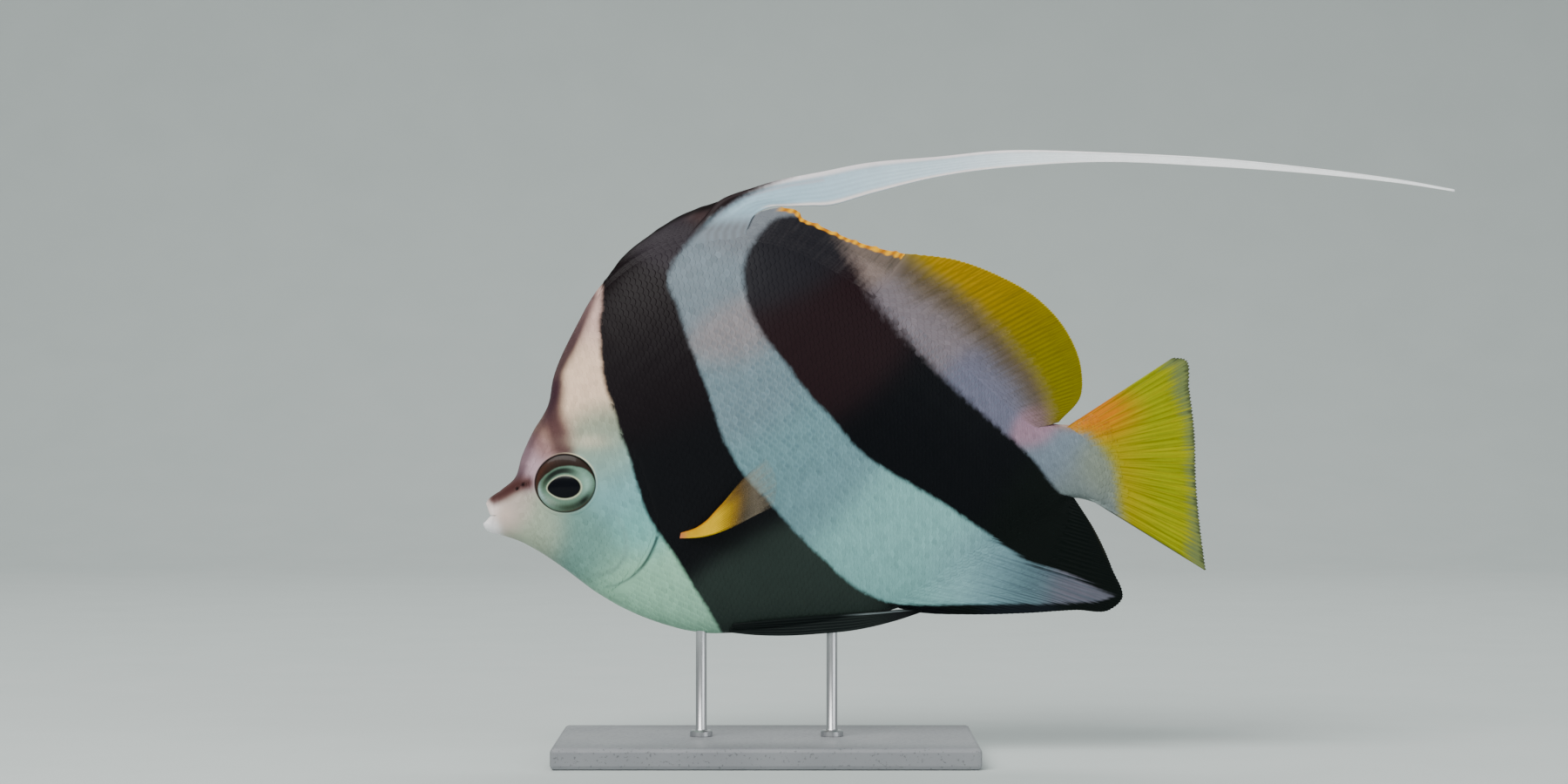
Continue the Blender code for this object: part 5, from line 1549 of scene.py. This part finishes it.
# Scale: thin bone under clear skin. Its seat is a shade darker.
scale_plate, tree = new_material("satin_fish_scale")
colour, mask, place = banded_colour(tree, 0.08)
# The seat mark is partly the dark dots of the pale bands and partly painted shade, where the free edge of the
# scale in front lies over it.
seat = add(tree, "ShaderNodeAttribute", {"attribute_name": "seat"}).outputs["Fac"]
pale = add(tree, "ShaderNodeMath", {"operation": "SUBTRACT"}, {0: 1.0, 1: mask})
amount = add(tree, "ShaderNodeMath", {"operation": "MULTIPLY"}, {0: seat, 1: pale.outputs[0]})
darker = add(tree, "ShaderNodeMix", {"data_type": "RGBA"},
             {"Factor": amount.outputs[0], 6: colour, 7: (*linear("#34505E"), 1)}).outputs[2]
grain = add(tree, "ShaderNodeTexNoise", None, {"Vector": place, "Scale": 3000.0, "Detail": 2.0})
rough = add(tree, "ShaderNodeMapRange", None, {"Value": grain.outputs["Fac"], "To Min": 0.34, "To Max": 0.48})
bump = add(tree, "ShaderNodeBump", None,
           {"Strength": 0.15, "Distance": 0.00004, "Height": grain.outputs["Fac"]})
shader = add(tree, "ShaderNodeBsdfPrincipled", None, {
    "Base Color": darker, "Roughness": rough.outputs[0], "Normal": bump.outputs[0],
    "IOR": 1.38, "Specular IOR Level": 0.15,
})
add(tree, "ShaderNodeOutputMaterial", None, {"Surface": shader.outputs[0]})


PATCH_LONG, PATCH_WIDE = 0.0027, 0.0015  # of one scale on the unwrap, for its length and half its width


def coat_piece(name, points, marked, unwrap, tone, dark, black, side):
    """One mesh of scales for one side, with its patches on the unwrap of the skin."""
    count = len(points)
    if side > 0:
        points = points * (1, -1, 1)
    faces = scale_faces(count)
    if side > 0:
        faces = faces[:, ::-1]
    per = points.shape[1] * points.shape[2]
    back, across = np.meshgrid(BACK_PLACES, ACROSS_PLACES, indexing="ij")
    # The seat: a dark mark just behind where the edge of the scale in front lies, partly pigment dots and
    # partly painted shade under that edge.
    seat = np.exp(-(((back - 0.12) / 0.20) ** 2 + (across / 0.55) ** 2))
    shade = random.normal(1.0, 0.05, count)[:, None, None]
    made = new_mesh(
        name, points.reshape(-1, 3), faces.tolist(),
        {"tone": (tone.reshape(count, per, 3) * shade).reshape(-1, 3), "dark": dark.reshape(-1, 3)},
        {"black": black, "seat": marked[:, None] * seat.ravel()},
    )
    patch = np.stack([back.ravel() * PATCH_LONG, across.ravel() * PATCH_WIDE], -1)
    uv = (unwrap[:, None, :] + patch[None]).reshape(-1, 2)
    layer = made.data.uv_layers.new(name="OFBake")
    corners = np.zeros(len(made.data.loops), np.int32)
    made.data.loops.foreach_get("vertex_index", corners)
    layer.data.foreach_set("uv", uv[corners].astype(np.float32).ravel())
    made.data.materials.append(scale_plate)
    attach(made, "root")
    return made


scale_flat = body_scales[..., [0, 2]]
scale_tone = head_tone(scale_flat, pale_tone(scale_flat))
scale_black = blackness(scale_flat) + random.normal(0, 0.12, len(root_flat))[:, None, None]
# The dark seats are plain on the upper half of the pale bands and faint towards the belly and head.
scale_marks = 0.20 + 0.60 * blot(root_flat, 4.0, 80.0, 24.0, 28.0)
scale_marks = scale_marks + 0.3 * blot(root_flat, 42.0, 92.0, 22.0, 12.0)
scale_marks = scale_marks * (1 - 0.8 * head_part) * random.uniform(0.6, 1.3, len(root_flat))
body_unwrap = np.stack([0.03 + 0.94 * first / LAST_SECTION, 0.5 + second * draw_at(first) / 130], -1)
scale_dark = dark_tone(scale_flat)
behind = root_flat[:, 0] > SCALE_PARTING
for place_word, chosen in (("front", ~behind), ("rear", behind)):
    for word, side in SIDES:
        coat_piece(place_word + "_body_scales_" + word, body_scales[chosen], scale_marks[chosen],
                   body_unwrap[chosen], scale_tone[chosen], scale_dark[chosen], scale_black[chosen],
                   side)

# The scales of the fins
# Smaller scales climb over the roots of the dorsal, anal and tail fins, along the rays. They begin
# as large as those of the body, under its last rows, and shrink and thin out to the bare membrane.
FIN_SCALE = 1.55
FIN_SCALE_LEAST = 0.62
FIN_SCALE_LIFT = 0.045
FIN_SCALE_START = -3.0  # mm from the root line
FIN_SCALE_SHRINK = 5.0  # mm out in which they go about two thirds of the way to the least
FIN_SCALE_SUNK = 0.05
FIN_SCALE_STEP = 0.55  # between rows, in widths of a scale's place
FIN_SCALE_SHAPE = (1.5, 1.15)  # length and width, the same way
FIN_SCALE_MARK = 0.15
FIN_COATS = (
    (front_spines, 0.60, spiny_colour),
    (rear_spines, 0.60, orange_tipped),
    (soft_dorsal, 0.52, yellow_fin_colour),
    (anal_form, 0.50, anal_colour),
    (tail_form, 0.20, tail_colour),
)


def fin_side(form):
    """Places on the left side of a fin by mm out along its rays and the share across, and its length."""
    shares = np.linspace(0, 1, 301)
    low, _ = form(shares, 0 * shares)
    high, _ = form(shares, 0 * shares + 1)
    lengths = np.maximum(np.linalg.norm(high - low, axis=1), FIN_LEAST_LENGTH)

    def length_at(across_share):
        return np.interp(across_share, shares, lengths)

    def at(depth, across_share):
        across_share = np.clip(across_share, 0, 1)
        flat, half = form(across_share, np.clip(depth / length_at(across_share), -3, 1))
        return np.stack([flat[..., 0], -half, flat[..., 1]], -1)
    return at, length_at


def fin_scale_pitch(depth):
    """Spacing of the scales at a distance out from the root line."""
    shrunk = np.exp(-np.maximum(depth, 0) / FIN_SCALE_SHRINK)
    return FIN_SCALE_LEAST + (FIN_SCALE - FIN_SCALE_LEAST) * shrunk


coats = []
for number, (form, reach, colour_of) in enumerate(FIN_COATS):
    surface, length_at = fin_side(form)
    probe = np.linspace(0, 1, 400)
    root_length = np.linalg.norm(np.diff(surface(0 * probe, probe), axis=0), axis=1).sum()
    scaled_depth = reach * length_at(probe).max()
    depths, acrosses = [], []
    depth = FIN_SCALE_START
    while depth < scaled_depth:
        pitch = fin_scale_pitch(depth)
        count = int(root_length * (1 + 0.25 * max(depth, 0) / scaled_depth) / pitch)
        acrosses.append((np.arange(count) + 0.5 * (len(depths) % 2) + 0.25) / count)
        depths.append(np.full(count, depth))
        depth += FIN_SCALE_STEP * pitch
    depths = np.concatenate(depths)
    acrosses = np.concatenate(acrosses)
    outs = depths / length_at(acrosses)
    fade = 1 - smooth_step(0.72 * reach, 1.05 * reach, outs + random.normal(0, 0.03, len(outs)))
    keep = (random.random(len(outs)) < fade) & (acrosses > 0.012) & (acrosses < 0.988)
    depths = depths[keep] + random.normal(0, 0.03, keep.sum())
    acrosses = acrosses[keep]
    outs = outs[keep]
    pitch = fin_scale_pitch(depths)
    size_long, size_wide = FIN_SCALE_SHAPE
    placed, depth_at, across_at = lay_scales(
        surface, depths, acrosses, pitch * size_long, pitch * size_wide, FIN_SCALE_LIFT * pitch)
    placed = placed - ACROSS * FIN_SCALE_SUNK
    out_at = np.clip(depth_at / length_at(across_at), 0, 1)
    across_at = np.clip(across_at, 0, 1)
    ray = 0.5 * ray_pattern(across_at, out_at, 20)
    tone, dark, black = colour_of(placed[..., [0, 2]], ray, out_at, across_at)
    band = number + 0.1 + 0.8 * np.clip(outs, 0, 1)
    unwrap = np.stack([0.02 + 0.96 * acrosses, band / len(FIN_COATS)], -1)
    coats.append((placed, unwrap, tone, dark, black, 0 * outs + FIN_SCALE_MARK))
placed, unwrap, tone, dark, black, marked = (np.concatenate(column) for column in zip(*coats))
for word, side in SIDES:
    coat_piece("fin_scales_" + word, placed, marked, unwrap, tone, dark, black, side)

# The display stand
# A slab of honed grey stone with softened edges, and two drawn steel rods let into it that run up
# into the belly. It is not in the photograph; it holds a fish that swims free there.
ROD_RADIUS = 1.25
ROD_SIDES = 48
ROD_INTO_FLESH = 1.0  # how much longer each rod is than its solid, which stops short of the belly
ROD_COLLAR = 2.6
ROD_BEVEL = 0.3
COLLAR_HEIGHT = 1.4
BASE_TOP = 5.0

# Honed stone: ground flat but not polished, so that it is grey, even and nearly matt.
honed_stone, tree = new_material("honed_grey_stone")
place = add(tree, "ShaderNodeTexCoord").outputs["Object"]
# Grains of feldspar and mica are about 0.5 to 2 mm across in a fine stone.
grains = add(tree, "ShaderNodeTexVoronoi", None, {"Vector": place, "Scale": 900.0})
cloud = add(tree, "ShaderNodeTexNoise", None, {"Vector": place, "Scale": 60.0, "Detail": 5.0})
fleck = add(tree, "ShaderNodeTexNoise", None, {"Vector": place, "Scale": 1600.0, "Detail": 2.0})
mixed = add(tree, "ShaderNodeMix", {"data_type": "RGBA"}, {
    "Factor": cloud.outputs["Fac"], 6: (*linear("#73757A"), 1), 7: (*linear("#8D8F92"), 1),
}).outputs[2]
dots = add(tree, "ShaderNodeMapRange", None,
           {"Value": fleck.outputs["Fac"], "From Min": 0.62, "From Max": 0.72, "To Min": 0.0, "To Max": 0.7})
flecked = add(tree, "ShaderNodeMix", {"data_type": "RGBA"},
              {"Factor": dots.outputs[0], 6: mixed, 7: (*linear("#4A4C50"), 1)}).outputs[2]
rough = add(tree, "ShaderNodeMapRange", None,
            {"Value": grains.outputs["Distance"], "To Min": 0.42, "To Max": 0.62})
bump = add(tree, "ShaderNodeBump", None,
           {"Strength": 0.15, "Distance": 0.0001, "Height": fleck.outputs["Fac"]})
shader = add(tree, "ShaderNodeBsdfPrincipled", None, {
    "Base Color": flecked, "Roughness": rough.outputs[0], "Normal": bump.outputs[0], "IOR": 1.54,
})
add(tree, "ShaderNodeOutputMaterial", None, {"Surface": shader.outputs[0]})
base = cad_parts["stand_base"]
base.data.materials.clear()
base.data.materials.append(honed_stone)

# Drawn steel: bright, with its reflections spread across the rod by the marks of the die.
drawn_steel, tree = new_material("drawn_stainless_steel")
place = add(tree, "ShaderNodeTexCoord").outputs["Object"]
# Drawing leaves fine lines along the rod, about 0.1 mm apart.
lines_at = add(tree, "ShaderNodeMapping", None, {"Vector": place, "Scale": (9000.0, 9000.0, 60.0)})
lines = add(tree, "ShaderNodeTexNoise", None, {"Vector": lines_at.outputs[0], "Scale": 1.0, "Detail": 2.0})
rough = add(tree, "ShaderNodeMapRange", None, {"Value": lines.outputs["Fac"], "To Min": 0.22, "To Max": 0.38})
bump = add(tree, "ShaderNodeBump", None,
           {"Strength": 0.12, "Distance": 0.00003, "Height": lines.outputs["Fac"]})
shader = add(tree, "ShaderNodeBsdfPrincipled", None, {
    "Base Color": (*linear("#C3C4C6"), 1), "Metallic": 1.0, "Roughness": rough.outputs[0],
    "Normal": bump.outputs[0],
})
add(tree, "ShaderNodeOutputMaterial", None, {"Surface": shader.outputs[0]})


def turned(name, x, profile):
    """A turned metal piece from its profile of radius and height."""
    angle = np.linspace(0, 2 * math.pi, ROD_SIDES, endpoint=False)
    cos, sin = np.cos(angle), np.sin(angle)
    rings = [np.stack([x + r * cos, r * sin, np.full(ROD_SIDES, z)], -1) for r, z in profile]
    numbers = np.arange(len(profile) * ROD_SIDES).reshape(-1, ROD_SIDES)
    faces = ring_faces(numbers) + [[int(k) for k in numbers[0]][::-1], [int(k) for k in numbers[-1]]]
    made = new_mesh(name, np.concatenate(rings), faces)
    outward_faces(made)
    made.data.set_sharp_from_angle(angle=math.radians(40))
    made.data.materials.append(drawn_steel)
    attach(made, "root")
    return made


for word in ("front", "rear"):
    low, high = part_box("stand_rod_" + word)
    x = (low.x + high.x) / 2 / MM
    rod_top = high.z / MM + ROD_INTO_FLESH
    collar_top = BASE_TOP + COLLAR_HEIGHT
    profile = (
        (ROD_COLLAR - ROD_BEVEL, BASE_TOP - 0.2),
        (ROD_COLLAR, BASE_TOP + 0.1),
        (ROD_COLLAR, collar_top - ROD_BEVEL),
        (ROD_COLLAR - ROD_BEVEL, collar_top),
        (ROD_RADIUS + 0.25, collar_top),
        (ROD_RADIUS, collar_top + ROD_BEVEL),
        (ROD_RADIUS, rod_top - ROD_BEVEL),
        (ROD_RADIUS - ROD_BEVEL, rod_top),
    )
    rod = turned("rod_" + word, x, profile)
    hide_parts("stand_rod_" + word)

# The studio
# A pale paper sweep under and behind the model, one large soft lamp above the camera's left, weaker
# ones at the right and behind, and a level camera square to the flank, as the photograph has it.
SWEEP_WIDTH = 4.0
SWEEP_FRONT = -1.6
SWEEP_BACK = 0.9
SWEEP_CURVE = 0.5
SWEEP_HEIGHT = 2.2
CURVE_STEPS = 24
profile = [(SWEEP_FRONT, 0.0)]
for k in range(CURVE_STEPS + 1):
    angle = k / CURVE_STEPS * math.pi / 2
    profile.append((SWEEP_BACK + SWEEP_CURVE * math.sin(angle), SWEEP_CURVE * (1 - math.cos(angle))))
profile.append((SWEEP_BACK + SWEEP_CURVE, SWEEP_HEIGHT))
points = [(x, y, z) for y, z in profile for x in (-SWEEP_WIDTH / 2, SWEEP_WIDTH / 2)]
faces = [(2 * k, 2 * k + 1, 2 * k + 3, 2 * k + 2) for k in range(len(profile) - 1)]
mesh = bpy.data.meshes.new("paper_sweep")
mesh.from_pydata(points, [], faces)
mesh.shade_smooth()
sweep = bpy.data.objects.new("paper_sweep", mesh)
bpy.context.scene.collection.objects.link(sweep)
# Matt paper: no gloss at all, and a faint cloudiness from its fibres.
paper, tree = new_material("pale_matt_paper")
place = add(tree, "ShaderNodeTexCoord").outputs["Object"]
fibre = add(tree, "ShaderNodeTexNoise", None, {"Vector": place, "Scale": 30.0, "Detail": 4.0})
level = add(tree, "ShaderNodeMix", {"data_type": "RGBA"}, {
    "Factor": fibre.outputs["Fac"], 6: (*linear("#C3CBC9"), 1), 7: (*linear("#CBD2D0"), 1),
}).outputs[2]
shader = add(tree, "ShaderNodeBsdfPrincipled", None, {"Base Color": level, "Roughness": 0.9})
add(tree, "ShaderNodeOutputMaterial", None, {"Surface": shader.outputs[0]})
mesh.materials.append(paper)


def soft_lamp(name, place, target, size, power, colour):
    lamp = bpy.data.lights.new(name, "AREA")
    lamp.shape = "RECTANGLE"
    lamp.size, lamp.size_y = size
    lamp.energy = power
    lamp.color = colour
    made = bpy.data.objects.new(name, lamp)
    made.location = place
    made.rotation_euler = (Vector(target) - Vector(place)).to_track_quat("-Z", "Y").to_euler()
    bpy.context.scene.collection.objects.link(made)


MIDDLE = (0.02, 0.0, 0.075)
LAMPS = (
    ("key_softbox", (-0.45, -0.75, 0.85), (0.8, 0.6), 16.0, (1.0, 0.99, 0.97)),
    ("fill_softbox", (0.75, -0.70, 0.35), (0.7, 0.7), 4.0, (0.95, 0.98, 1.0)),
    ("back_softbox", (0.1, 0.8, 0.9), (0.9, 0.4), 5.0, (1.0, 1.0, 1.0)),
)
for name, place, size, power, colour in LAMPS:
    soft_lamp(name, place, MIDDLE, size, power, colour)
world = bpy.data.worlds.new("soft_room")
world.use_nodes = True
background = world.node_tree.nodes["Background"]
background.inputs["Color"].default_value = (*linear("#DDE4E4"), 1)
background.inputs["Strength"].default_value = 0.50
bpy.context.scene.world = world

# The photograph shows 360 mm across at the fish; its middle is 84 mm up, and 4 mm nearer the tail
# than the base's middle.
CAMERA_PLACE = (0.004, -0.85, 0.084)
lens = bpy.data.cameras.new("photo_camera")
lens.lens = 85.0
lens.sensor_width = 36.0
camera = bpy.data.objects.new("photo_camera", lens)
camera.location = CAMERA_PLACE
camera.rotation_euler = (math.pi / 2, 0, 0)
bpy.context.scene.collection.objects.link(camera)
bpy.context.scene.camera = camera

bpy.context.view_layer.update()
